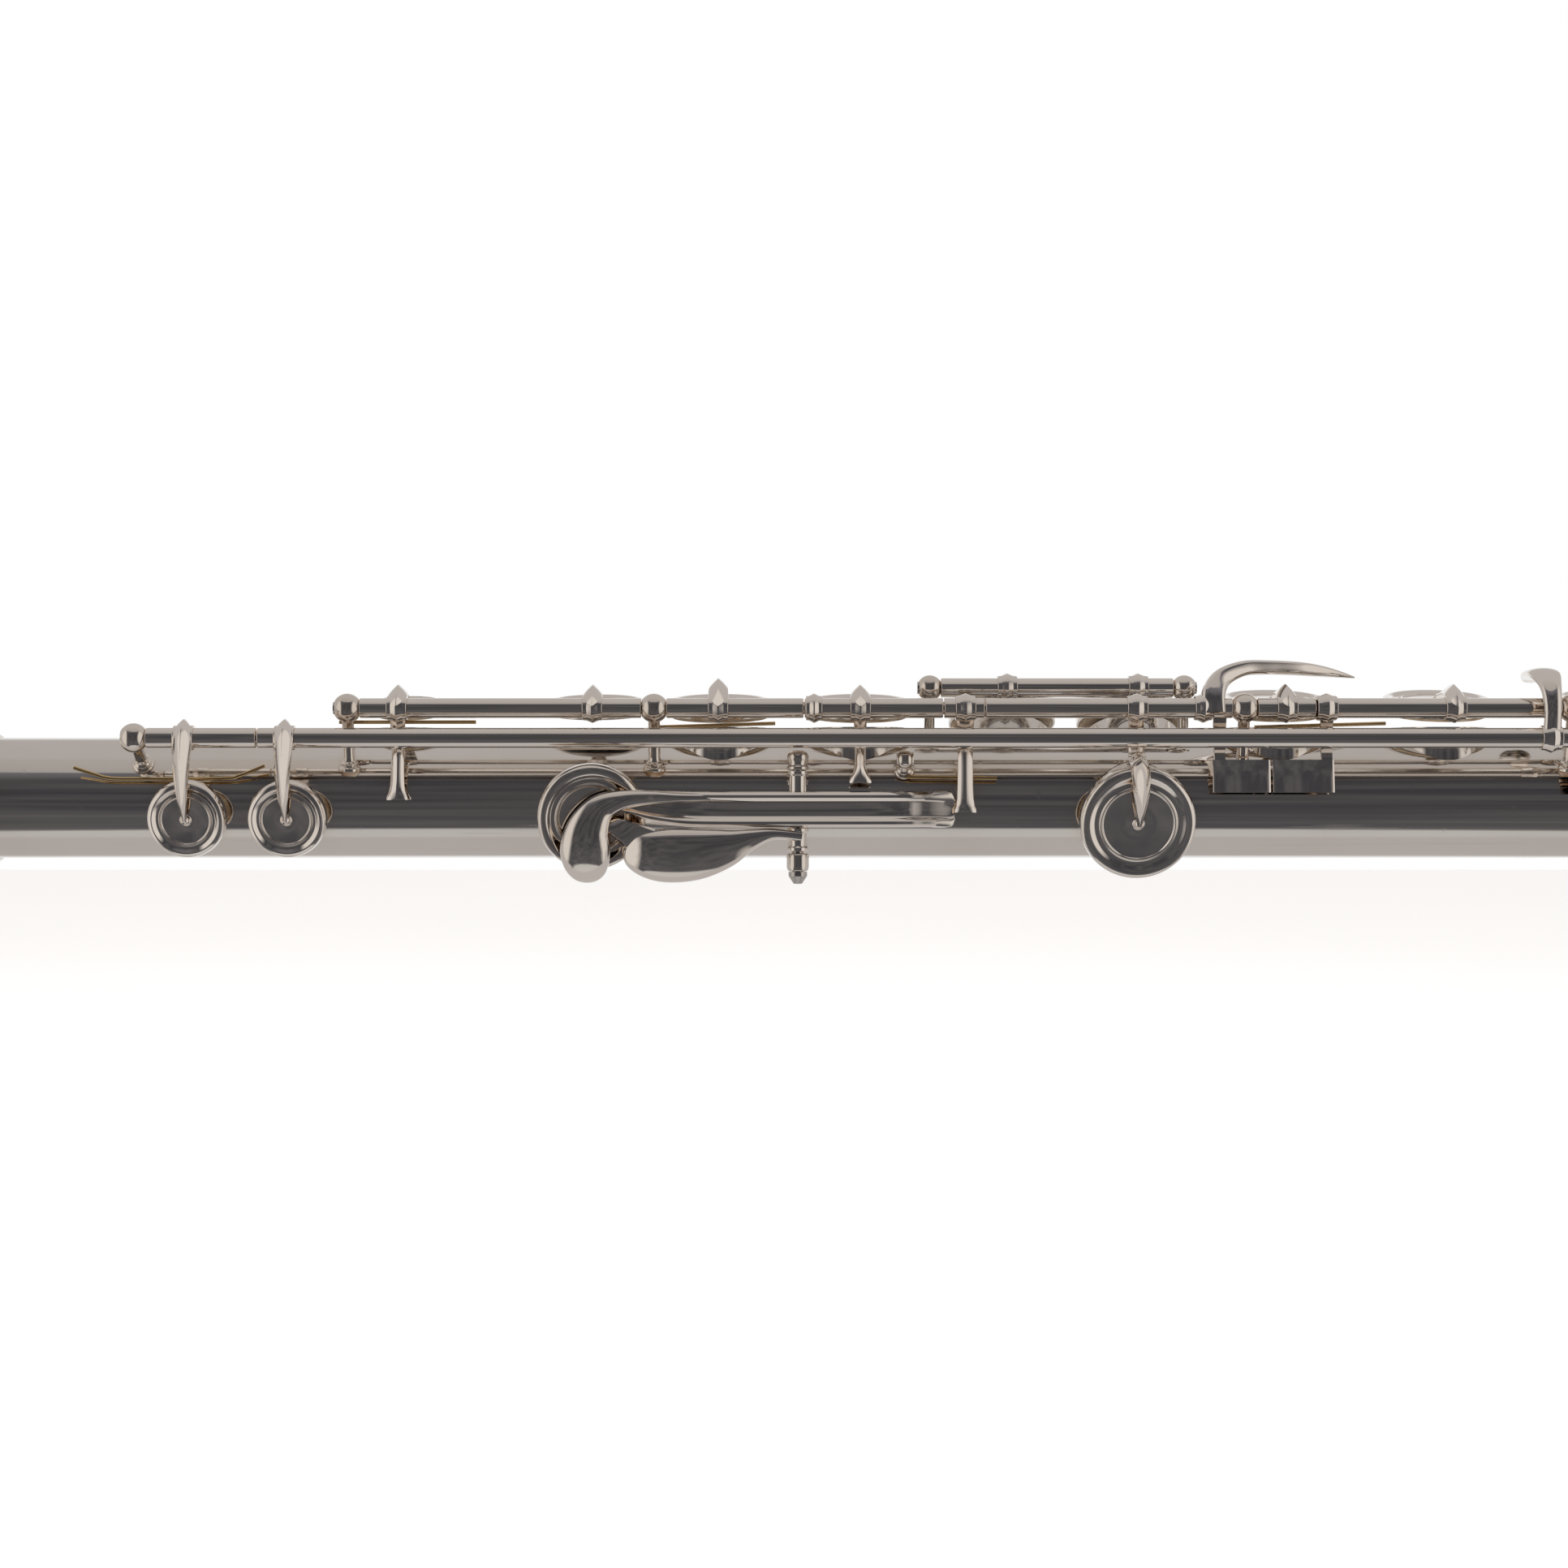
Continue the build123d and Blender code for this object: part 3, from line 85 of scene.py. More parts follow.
def ramp(tree, factor, stops):
    """Grey ramp through (place, value) stops."""
    node = tree.nodes.new("ShaderNodeValToRGB")
    tree.links.new(factor, node.inputs["Fac"])
    while len(node.color_ramp.elements) < len(stops):
        node.color_ramp.elements.new(0.5)
    for element, (place, value) in zip(node.color_ramp.elements, stops):
        element.position = place
        element.color = (value, value, value, 1)
    return node.outputs["Color"]


def noise(tree, vector, scale, detail=3.0, stretch=None):
    """Noise factor, stretched along the axes if asked."""
    if stretch:
        mapping = tree.nodes.new("ShaderNodeMapping")
        mapping.inputs["Scale"].default_value = stretch
        tree.links.new(vector, mapping.inputs["Vector"])
        vector = mapping.outputs["Vector"]
    node = tree.nodes.new("ShaderNodeTexNoise")
    node.inputs["Scale"].default_value = scale
    node.inputs["Detail"].default_value = detail
    tree.links.new(vector, node.inputs["Vector"])
    return node.outputs["Fac"]


def math_node(tree, operation, first, second):
    """Arithmetic of two links or numbers."""
    node = tree.nodes.new("ShaderNodeMath")
    node.operation = operation
    for socket, value in zip(node.inputs, (first, second)):
        if isinstance(value, (int, float)):
            socket.default_value = value
        else:
            tree.links.new(value, socket)
    return node.outputs["Value"]


def build_tarnish_and_painted_shade():
    """Brown tint that gathers in corners, as a mask: partly tarnish, partly painted shade and painted warm
    reflection.
    """
    group, inward, outward = new_group(
        "corner_tarnish_and_painted_shade",
        [("Reach", "NodeSocketFloat", 0.003), ("Amount", "NodeSocketFloat", 0.8)],
        [("Mask", "NodeSocketFloat")],
    )
    place = group.nodes.new("ShaderNodeTexCoord")
    corner = group.nodes.new("ShaderNodeAmbientOcclusion")
    corner.samples = 6
    group.links.new(inward.outputs["Reach"], corner.inputs["Distance"])
    # Painted shade: where the occlusion test finds the surface hidden in a corner, the mask rises and browns the
    # colour.
    hidden = ramp(group, corner.outputs["AO"], [(0.18, 1.0), (0.78, 0.0)])
    patchy = ramp(group, noise(group, place.outputs["Object"], 260.0), [(0.3, 0.35), (0.7, 1.0)])
    mask = math_node(group, "MULTIPLY", hidden, patchy)
    mask = math_node(group, "MULTIPLY", mask, inward.outputs["Amount"])
    group.links.new(mask, outward.inputs["Mask"])
    return group


def build_wear():
    """Wiping scratches, dull smudges and faint waves of polished plate."""
    group, inward, outward = new_group(
        "polish_wear",
        [("Scratch", "NodeSocketFloat", 0.3), ("Smudge", "NodeSocketFloat", 0.3), ("Base", "NodeSocketFloat", 0.1)],
        [("Roughness", "NodeSocketFloat"), ("Height", "NodeSocketFloat"), ("Cloud", "NodeSocketFloat")],
    )
    place = group.nodes.new("ShaderNodeTexCoord").outputs["Object"]
    lines = ramp(group, noise(group, place, 30.0, 6.0, (1.0, 34.0, 34.0)), [(0.60, 0.0), (0.72, 1.0)])
    crossing = ramp(group, noise(group, place, 60.0, 5.0, (14.0, 2.0, 5.0)), [(0.66, 0.0), (0.74, 1.0)])
    marks = math_node(group, "ADD", lines, math_node(group, "MULTIPLY", crossing, 0.6))
    cloud = ramp(group, noise(group, place, 34.0, 4.0), [(0.42, 0.0), (0.75, 1.0)])
    rough = math_node(group, "MULTIPLY", marks, inward.outputs["Scratch"])
    rough = math_node(group, "ADD", rough, math_node(group, "MULTIPLY", cloud, inward.outputs["Smudge"]))
    group.links.new(math_node(group, "ADD", rough, inward.outputs["Base"]), outward.inputs["Roughness"])
    waves = noise(group, place, 90.0, 2.0)
    height = math_node(group, "ADD", math_node(group, "MULTIPLY", marks, -0.25), waves)
    group.links.new(height, outward.inputs["Height"])
    group.links.new(cloud, outward.inputs["Cloud"])
    return group


TARNISH_AND_PAINTED_SHADE = build_tarnish_and_painted_shade()
WEAR = build_wear()


def use_group(tree, group, **values):
    """A group's node, with its inputs set."""
    node = tree.nodes.new("ShaderNodeGroup")
    node.node_tree = group
    for label, value in values.items():
        node.inputs[label].default_value = value
    return node


def mix_colour(tree, factor, first, second):
    """Colour between two colours or links."""
    node = tree.nodes.new("ShaderNodeMix")
    node.data_type = "RGBA"
    tree.links.new(factor, node.inputs["Factor"])
    for socket, value in ((node.inputs[6], first), (node.inputs[7], second)):
        if isinstance(value, tuple):
            socket.default_value = (*value, 1)
        else:
            tree.links.new(value, socket)
    return node.outputs[2]


def new_material(name):
    """Empty material with its Principled shader."""
    material = bpy.data.materials.new(name)
    material.use_nodes = True
    return material, material.node_tree, material.node_tree.nodes["Principled BSDF"]


def polished_metal(name, clean, dull, corner, reach, amount, base, scratch, smudge, bump):
    """Plated metal: bright where wiped, dull in patches, brown in corners from tarnish plus painted shade and
    painted warm reflection.
    """
    material, tree, shader = new_material(name)
    wear = use_group(tree, WEAR, Scratch=scratch, Smudge=smudge, Base=base)
    tarnish_and_painted_shade = use_group(tree, TARNISH_AND_PAINTED_SHADE, Reach=reach, Amount=amount)
    colour = mix_colour(tree, wear.outputs["Cloud"], clean, dull)
    # Painted shade and painted warm reflection, with some tarnish: the occlusion mask mixes the corner brown into
    # the colour.
    colour = mix_colour(tree, tarnish_and_painted_shade.outputs["Mask"], colour, corner)
    tree.links.new(colour, shader.inputs["Base Color"])
    shader.inputs["Metallic"].default_value = 1.0
    tree.links.new(wear.outputs["Roughness"], shader.inputs["Roughness"])
    relief = tree.nodes.new("ShaderNodeBump")
    relief.inputs["Strength"].default_value = bump
    relief.inputs["Distance"].default_value = 0.0001
    tree.links.new(wear.outputs["Height"], relief.inputs["Height"])
    tree.links.new(relief.outputs["Normal"], shader.inputs["Normal"])
    return material


def soft_stuff(name, light, dark, scale, roughness):
    """Cork, felt or skin: two tones in grains."""
    material, tree, shader = new_material(name)
    place = tree.nodes.new("ShaderNodeTexCoord").outputs["Object"]
    grain = ramp(tree, noise(tree, place, scale, 6.0), [(0.35, 0.0), (0.65, 1.0)])
    tree.links.new(mix_colour(tree, grain, light, dark), shader.inputs["Base Color"])
    shader.inputs["Roughness"].default_value = roughness
    relief = tree.nodes.new("ShaderNodeBump")
    relief.inputs["Strength"].default_value = 0.5
    relief.inputs["Distance"].default_value = 0.0002
    tree.links.new(grain, relief.inputs["Height"])
    tree.links.new(relief.outputs["Normal"], shader.inputs["Normal"])
    return material


# Each metal's fourth colour is the corner brown: partly tarnish, partly painted shade and painted warm reflection.
MATERIALS = {
    "tube_silver": polished_metal(
        "wiped_silver_tube", (0.82, 0.79, 0.76), (0.78, 0.75, 0.71), (0.42, 0.28, 0.14), 0.004, 0.8,
        0.05, 0.22, 0.10, 0.10,
    ),
    "key_silver": polished_metal(
        "bright_silver_keys", (0.90, 0.86, 0.82), (0.86, 0.81, 0.76), (0.52, 0.33, 0.16), 0.0035, 0.85,
        0.045, 0.14, 0.07, 0.09,
    ),
    "post_silver": polished_metal(
        "silver_posts_and_ribs", (0.86, 0.81, 0.76), (0.78, 0.72, 0.65), (0.40, 0.23, 0.09), 0.004, 1.0,
        0.06, 0.10, 0.08, 0.08,
    ),
    "hinge_steel": polished_metal(
        "ground_hinge_steel", (0.60, 0.58, 0.56), (0.52, 0.49, 0.45), (0.20, 0.14, 0.10), 0.002, 0.9,
        0.16, 0.20, 0.10, 0.2,
    ),
    "spring_bronze": polished_metal(
        "drawn_bronze_spring", (0.74, 0.54, 0.28), (0.55, 0.37, 0.18), (0.22, 0.12, 0.05), 0.002, 0.8,
        0.18, 0.15, 0.12, 0.2,
    ),
    "pad_skin": soft_stuff("pad_felt_and_skin", (0.72, 0.60, 0.44), (0.46, 0.30, 0.17), 420.0, 0.75),
    "key_cork": soft_stuff("key_cork", (0.60, 0.42, 0.26), (0.30, 0.18, 0.10), 900.0, 0.9),
    "stopper_cork": soft_stuff("waxed_stopper_cork", (0.58, 0.40, 0.24), (0.28, 0.16, 0.09), 600.0, 0.7),
}

for node, thing in frame["nodes"].items():
    thing.data.materials.clear()
    thing.data.materials.append(MATERIALS[SLOT_OF[node]])

# ------------------------------------------------------------------ shapes

def softened(points, size, steps=4):
    """Profile with its inner corners rounded by short curves."""
    result = [points[0]]
    for before, corner, after in zip(points, points[1:], points[2:]):
        corner = Vector(corner)
        first = Vector(before) - corner
        last = Vector(after) - corner
        start = corner + first * min(size / first.length, 0.5)
        end = corner + last * min(size / last.length, 0.5)
        for i in range(steps + 1):
            t = i / steps
            result.append(tuple(start * (1 - t) ** 2 + corner * (2 * t * (1 - t)) + end * t ** 2))
    result.append(points[-1])
    return result


def curve_through(stations, steps):
    """Smooth run through stations of equal length, by Catmull-Rom."""
    run = []
    last = len(stations) - 1
    for i in range(last):
        a, b, c, d = (stations[max(0, min(last, j))] for j in (i - 1, i, i + 1, i + 2))
        for k in range(steps):
            t = k / steps
            run.append(tuple(
                0.5 * (2 * q + (r - p) * t + (2 * p - 5 * q + 4 * r - s) * t * t + (3 * q - p - 3 * r + s) * t ** 3)
                for p, q, r, s in zip(a, b, c, d)
            ))
    run.append(tuple(stations[-1]))
    return run


def frame_of(origin, way, side):
    """Matrix whose Z runs along a way and whose X lies near a side."""
    z = Vector(way).normalized()
    x = (Vector(side) - z * z.dot(Vector(side))).normalized()
    matrix = Matrix((x, z.cross(x), z)).transposed().to_4x4()
    matrix.translation = Vector(origin)
    return matrix


class Shape:
    """Mesh of one piece, gathered in millimetres."""

    def __init__(self):
        self.points = []
        self.faces = []

    def add(self, rows):
        """Skin over rows of points that each close round."""
        start = len(self.points)
        size = len(rows[0])
        for row in rows:
            self.points.extend(Vector(p) for p in row)
        for i in range(len(rows) - 1):
            for j in range(size):
                a = start + i * size + j
                b = start + i * size + (j + 1) % size
                self.faces.append((a, b, b + size, a + size))
        self.faces.append(tuple(start + j for j in reversed(range(size))))
        last = start + (len(rows) - 1) * size
        self.faces.append(tuple(last + j for j in range(size)))

    def lathe(self, profile, origin, way, steps=56, soft=0.12):
        """Turned solid from (radius, height) points about a way."""
        profile = softened(profile, soft) if soft else profile
        matrix = frame_of(origin, way, (1, 0, 0) if abs(Vector(way).normalized().x) < 0.9 else (0, 1, 0))
        rows = []
        for radius, height in profile:
            row = []
            for k in range(steps):
                angle = 2 * math.pi * k / steps
                row.append(matrix @ Vector((radius * math.cos(angle), radius * math.sin(angle), height)))
            rows.append(row)
        self.add(rows)

    def sweep(self, stations, section, face=None, side=None, steps=6):
        """Bar through (x, y, z, half width, rise, depth) stations, its outside towards a face."""
        run = curve_through(stations, steps)
        rows = []
        for i, station in enumerate(run):
            before = Vector(run[max(i - 1, 0)][:3])
            after = Vector(run[min(i + 1, len(run) - 1)][:3])
            way = (after - before).normalized()
            if side is not None:
                across = (Vector(side) - way * way.dot(Vector(side))).normalized()
                outside = across.cross(way)
            else:
                outside = (Vector(face) - way * way.dot(Vector(face))).normalized()
                across = way.cross(outside)
            half, rise, depth = station[3:6]
            centre = Vector(station[:3])
            rows.append([
                centre + across * (u * half) + outside * (v * (rise if v > 0 else depth)) for u, v in section
            ])
        self.add(rows)

    def finished(self, node, placing=None):
        """Piece that stands for a CAD node and rides on its body."""
        mesh = bpy.data.meshes.new(node + "_form")
        matrix = placing or Matrix.Identity(4)
        mesh.from_pydata([(matrix @ p) * MM for p in self.points], [], self.faces)
        work = bmesh.new()
        work.from_mesh(mesh)
        bmesh.ops.remove_doubles(work, verts=work.verts, dist=1e-7)
        bmesh.ops.recalc_face_normals(work, faces=work.faces)
        work.to_mesh(mesh)
        work.free()
        mesh.shade_smooth()
        mesh.set_sharp_from_angle(angle=math.radians(34))
        piece = bpy.data.objects.new(node + "_form", mesh)
        bpy.context.scene.collection.objects.link(piece)
        mesh.materials.append(MATERIALS[SLOT_OF[node]])
        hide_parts(node)
        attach(piece, BODY_OF[node])


RIDGED = [
    (-1.0, -0.15), (-1.0, 0.0), (-0.94, 0.16), (-0.52, 0.58), (-0.1, 0.94), (0.0, 1.0), (0.1, 0.94),
    (0.52, 0.58),
    (0.94, 0.16), (1.0, 0.0), (1.0, -0.15), (0.9, -0.85), (0.7, -1.0), (-0.7, -1.0), (-0.9, -0.85),
]
DOMED = [(math.cos(math.radians(a)), math.sin(math.radians(a))) for a in range(0, 181, 15)] + [
    (-0.97, -0.7), (-0.8, -1.0), (0.8, -1.0), (0.97, -0.7),
]
ROUND = [(math.cos(math.radians(a)), math.sin(math.radians(a))) for a in range(0, 360, 30)]
FLAT = [(-1, 0.5), (-0.93, 1), (0.93, 1), (1, 0.5), (1, -0.5), (0.93, -1), (-0.93, -1), (-1, -0.5)]
SLAB = [
    (math.copysign(abs(math.cos(math.radians(a))) ** 0.5, math.cos(math.radians(a))),
     math.copysign(abs(math.sin(math.radians(a))) ** 0.5, math.sin(math.radians(a)))) for a in range(0, 360, 15)
]
ROLLED = [
    (0.0, 2.84), (-0.5, 2.72), (-0.85, 2.3), (-0.88, 1.85), (-0.6, 1.4), (-0.28, 1.1), (-0.2, 0.2),
    (-0.2, -0.9), (-0.3, -1.2), (-0.62, -1.45), (-0.9, -1.9), (-0.85, -2.35), (-0.5, -2.72), (0.0, -2.84),
    (0.5, -2.6), (0.62, -2.0), (0.62, 2.0), (0.5, 2.6),
]

RIM_H = 11.5
CUP_TOP = 14.5
ROD_R = 1.6
STEEL_R = 1.0
SOLID = 0.01
BARREL_R = 1.5
SPRING_R = 0.3
MAIN = pivot("c_key_press").yz
SHORT = pivot("g_key_press").yz
TRILL = pivot("d_trill_press").yz
FOOT_TURN = math.atan2(MAIN.y, MAIN.x) - math.atan2(pivot("low_c_press").z, pivot("low_c_press").y)
OFFSET_TURN = math.radians(27.0)
TRILL_TURN = math.radians(-104.5)
G_SHARP_TURN = math.radians(-107.0)
THUMB_TURN = math.radians(-103.0)
HINGE = pivot("thumb_b_key_close").xy


def out_of(turn):
    """Direction of a hole turned from straight up."""
    return Vector((0, math.sin(turn), math.cos(turn)))


def opened(joint):
    """Swing of a key about its rod, from closed to rest."""
    place = pivot(joint)
    place = Matrix.Translation((0, place.y, place.z))
    return place @ Matrix.Rotation(travel(joint), 4, "X") @ place.inverted()


def tube(shape, centre, x0, x1, radius=ROD_R, inner=1.05):
    """Hinge tube with eased ends."""
    profile = [(inner, x0), (radius, x0), (radius, x1), (inner, x1)]
    shape.lathe(profile, (0, centre[0], centre[1]), (1, 0, 0), 40, 0.2)


def collar(shape, centre, x, width=3.2, shoulder=1.95, ridge=2.4):
    """Pointed collar brazed round a hinge tube."""
    half = width / 2
    profile = [(1.3, -half), (shoulder, -half), (shoulder + 0.05, -half * 0.6), (ridge, 0),
               (shoulder + 0.05, half * 0.6), (shoulder, half), (1.3, half)]
    shape.lathe(profile, (x, centre[0], centre[1]), (1, 0, 0), 40, 0.14)


def cup(shape, x, radius, turn=0.0):
    """Pad cup: rounded rim, wide dish, raised inner ring, and a pip in the middle."""
    boss = radius * 0.64
    fine = radius / 8.9
    profile = [
        (radius - 0.5, RIM_H + 1.4), (radius - 0.5, RIM_H + 0.5), (radius - 0.05, RIM_H + 0.5),
        (radius, CUP_TOP - 1.1), (radius - 0.25, CUP_TOP - 0.3), (radius - 0.9, CUP_TOP),
        (radius - 1.5 * fine, CUP_TOP - 0.12), (boss + 0.9 * fine, CUP_TOP - 0.55),
        (boss + 0.25 * fine, CUP_TOP - 0.5),
        (boss + 0.1 * fine, CUP_TOP - 0.22), (boss - 0.15 * fine, CUP_TOP - 0.22),
        (boss - 0.3 * fine, CUP_TOP - 0.5),
        (radius * 0.3, CUP_TOP - 0.62), (0.9, CUP_TOP - 0.6), (0.6, CUP_TOP - 0.1), (0.3, CUP_TOP + 0.2),
        (0.02, CUP_TOP + 0.28),
    ]
    shape.lathe(profile, (x, 0, 0), out_of(turn), 72, 0.25 * fine)


def arm(shape, x, stations, outer=1):
    """Ridged arm in one cross-section of the flute, from (y, z, width, ridge, depth) stations."""
    rows = [(s[5] if len(s) > 5 else x, s[0], s[1], s[2] / 2, s[3], s[4]) for s in stations]
    shape.sweep(rows, RIDGED, side=(outer, 0, 0))


def cup_arm(shape, x, centre=None, peak=0.0):
    """Pointed arm from a rod over a cup, ending in its middle."""
    y, z = centre or MAIN
    arm(shape, x, [
        (y - 1.5, z - 0.6, 2.8, 0.6, 0.4), (y - 1.0, z + 0.9, 3.2, 1.3, 0.9),
        (y + 1.0, z + 2.0 + peak, 3.1, 1.7, 0.9), (y + 4.2, z + 1.8 + peak * 0.5, 2.4, 1.1, 0.9),
        (-2.6, CUP_TOP + 0.6, 1.5, 0.6, 0.8), (0.5, CUP_TOP + 0.1, 0.5, 0.3, 0.4),
    ])


def closing(point, joint):
    """Where a point at rest lies once its key on the main rod is closed."""
    turn = Matrix.Rotation(-travel(joint), 2)
    return turn @ (Vector(point) - MAIN) + MAIN


def hanging(shape, x, joint, stations, section=RIDGED):
    """Bar that hangs behind the trill rod, given as it hangs at rest."""
    rows = []
    for s in stations:
        y, z = closing(s[:2], joint)
        rows.append((x, y, z, s[2] / 2, s[3], s[4]))
    shape.sweep(rows, section, side=(-1, 0, 0), steps=4)


def strut(shape, x, joint):
    """Flat arm that carries one end of a bridge plate."""
    hanging(shape, x, joint, [
        (-11.5, 13.8, 2.2, 0.4, 0.4), (-10.95, 9.6, 2.0, 0.3, 0.4), (-11.45, 6.1, 1.8, 0.25, 0.4),
        (-11.5, 5.0, 1.8, 0.2, 0.3),
    ], FLAT)


def leg(shape, x, joint, width, foot, flare):
    """Arm that hangs from the main rod, with a flared foot."""
    hanging(shape, x, joint, [
        (-11.5, 13.8, width, 0.5, 0.5), (-10.95, 9.6, width * 0.85, 0.5, 0.45),
        (-11.3, 6.4, width * 0.8, 0.55, 0.45),
        (-11.7, foot + 2.2, width * 0.9, 0.6, 0.5), (-12.0, foot + 0.5, flare, 0.6, 0.5),
        (-12.05, foot, flare, 0.5, 0.4),
    ])


def bridge(shape, x, joint, width):
    """Wide plate across the feet of hanging arms."""
    hanging(shape, x, joint, [
        (-11.45, 6.1, width, 0.3, 0.3), (-11.8, 4.0, width, 0.35, 0.3), (-12.1, 0.9, width, 0.35, 0.3),
    ], FLAT)


def ball_post(shape, x, centre, foot, radius=2.35, face=1.9, waist=0.95):
    """Ball-headed post on a ringed base."""
    head = Vector((x, *centre))
    base = Vector((x, *foot))
    way = head - base
    reach = way.length
    shape.lathe([
        (0.01, -0.3), (1.75, -0.3), (1.75, 0.2), (1.5, 0.45), (1.25, 0.55), (1.45, 0.95), (1.1, 1.3),
        (waist, 1.9), (waist, reach - radius * 0.9), (waist + 0.3, reach - radius * 0.75),
        (0.01, reach - radius * 0.6),
    ], base, way, 32, 0.12)
    edge = math.acos(face / radius)
    angles = [edge + (math.pi - 2 * edge) * i / 14 for i in range(15)]
    arc = [(radius * math.sin(angle), -radius * math.cos(angle)) for angle in angles]
    shape.lathe([(1.0, -face + 0.25), (1.15, -face), *arc, (1.15, face), (1.0, face - 0.25)],
                head, (1, 0, 0), 40, 0.0)


def near_face(angle, radius):
    """Point on the tube's near side, at an angle above the level."""
    return (-radius * math.cos(math.radians(angle)), radius * math.sin(math.radians(angle)))

# ------------------------------------------------------------------ left-hand keys

X = {node: middle(node).x for node in frame["nodes"] if node.endswith("_pad")}
G_HOLES = (-268.3, -247.0)
C_TOUCH = -335.2
MAIN_CUP = 8.9

key = Shape()
tube(key, MAIN, -372.4, -327.4)
for x, radius in ((X["c_key_pad"], 5.6), (C_TOUCH, 8.2)):
    collar(key, MAIN, x)
    cup(key, x, radius)
    cup_arm(key, x)
leg(key, X["c_key_pad"], "c_key_press", 2.6, -0.3, 3.3)
key.finished("c_key", opened("c_key_press"))

key = Shape()
tube(key, MAIN, -325.1, -231.3, STEEL_R, SOLID)
for x0, x1 in ((-323.4, -301.5), (-279.0, -272.6), (-236.1, -233.0)):
    tube(key, MAIN, x0, x1)
collar(key, MAIN, X["b_flat_key_pad"])
collar(key, MAIN, -275.6)
cup(key, X["b_flat_key_pad"], MAIN_CUP)
cup_arm(key, X["b_flat_key_pad"], peak=1.0)
leg(key, -275.6, "b_flat_key_close", 3.0, -2.3, 3.4)
strut(key, -234.9, "b_flat_key_close")
bridge(key, -231.5, "b_flat_key_close", 9.2)
key.finished("b_flat_key", opened("b_flat_key_close"))

key = Shape()
tube(key, MAIN, -301.3, -279.2)
collar(key, MAIN, -299.8, 2.6)
collar(key, MAIN, X["a_key_pad"])
cup(key, X["a_key_pad"], MAIN_CUP)
cup_arm(key, X["a_key_pad"])
leg(key, X["a_key_pad"], "a_key_press", 2.2, 2.4, 3.4)
key.finished("a_key", opened("a_key_press"))

upright = Matrix.Rotation(OFFSET_TURN, 2) @ SHORT
turned = Matrix.Rotation(-OFFSET_TURN, 4, "X")
key = Shape()
tube(key, upright, -279.1, -241.3)
for x in G_HOLES:
    collar(key, upright, x)
    cup(key, x, MAIN_CUP)
    y, z = upright
    arm(key, x, [
        (y - 1.2, z - 0.2, 2.6, 0.5, 0.6), (y - 0.9, z + 0.8, 3.0, 0.9, 0.9), (y + 0.8, z + 1.9, 2.9, 0.9, 0.9),
        (y + 4.2, z + 1.5, 2.3, 0.9, 0.9), (-2.6, CUP_TOP + 0.6, 1.5, 0.6, 0.8),
        (0.5, CUP_TOP + 0.1, 0.5, 0.3, 0.4),
    ])
key.finished("g_key", opened("g_key_press") @ turned)

key = Shape()
tube(key, MAIN, -272.4, -236.3)
collar(key, MAIN, X["g_sharp_key_pad"])
collar(key, MAIN, -237.6, 2.8)
cup(key, X["g_sharp_key_pad"], 9.3, G_SHARP_TURN)
arm(key, X["g_sharp_key_pad"], [
    (-11.5, 14.0, 2.6, 0.5, 0.5), (-10.9, 9.6, 2.4, 0.4, 0.4), (-12.0, 6.4, 2.8, 0.8, 0.6),
    (-16.0, 4.9, 3.1, 1.3, 0.6),
    (-17.3, 1.4, 2.7, 1.4, 0.9), (-16.3, -2.0, 1.8, 1.0, 0.8), (-14.7, -4.4, 0.7, 0.4, 0.5),
], outer=-1)
key.sweep([
    (-236.0, -12.6, 13.4, 1.3, 2.0, 1.8), (-236.0, -11.6, 16.8, 1.4, 1.8, 1.9),
    (-234.4, -9.6, 19.4, 1.7, 1.4, 1.7),
    (-230.8, -7.6, 20.9, 2.2, 1.2, 1.3), (-226.4, -5.8, 21.2, 2.7, 1.1, 1.2),
    (-221.2, -4.2, 21.0, 2.8, 1.1, 1.1),
    (-217.2, -3.0, 20.6, 2.4, 0.9, 0.9), (-213.9, -2.2, 20.1, 1.5, 0.55, 0.5),
    (-211.4, -1.7, 19.7, 0.4, 0.15, 0.15),
], SLAB, side=(0, -1, 0), steps=8)
key.finished("g_sharp_key")

# ------------------------------------------------------------------ thumb keys

swung = (Matrix.Translation((HINGE.x, HINGE.y, 0)) @ Matrix.Rotation(travel("thumb_b_key_close"), 4, "Z")
         @ Matrix.Translation((-HINGE.x, -HINGE.y, 0)))


def barrel(shape, low, high):
    """Upright hinge tube of a thumb key, ringed at both ends."""
    radius = BARREL_R
    shape.lathe([
        (0.95, low), (radius + 0.15, low), (radius + 0.15, low + 0.5), (radius - 0.1, low + 0.8),
        (radius - 0.1, high - 0.8), (radius + 0.15, high - 0.5), (radius + 0.15, high), (0.95, high),
    ], (HINGE.x, HINGE.y, 0), (0, 0, 1), 40, 0.1)


key = Shape()
barrel(key, -8.4, -4.75)
cup(key, -335.2, 8.6, THUMB_TURN)
key.sweep([
    (-301.9, -14.2, -6.1, 0.8, 0.5, 0.4), (-306.5, -14.3, -5.7, 0.9, 0.7, 0.4),
    (-310.0, -14.3, -6.5, 1.7, 1.0, 0.4),
    (-314.0, -14.3, -7.9, 3.2, 1.6, 0.4), (-318.5, -14.3, -8.8, 4.2, 2.1, 0.5),
    (-323.0, -14.2, -9.0, 4.45, 2.3, 0.5),
    (-326.5, -14.1, -8.8, 3.9, 2.0, 0.5), (-328.9, -13.9, -8.6, 2.7, 1.1, 0.4),
    (-330.0, -13.7, -8.5, 1.4, 0.6, 0.3),
    (-330.35, -13.5, -8.5, 0.1, 0.1, 0.1),
], DOMED, face=(0, -1, -0.22), steps=8)
arm(key, -322.0, [
    (-13.7, -8.4, 8.0, 0.5, 0.5, -325.0), (-15.0, -5.4, 4.0, 0.5, 0.5, -329.5),
    (-14.4, -3.4, 2.0, 0.4, 0.5, -334.4),
], outer=-1)
key.finished("thumb_b_key", swung)

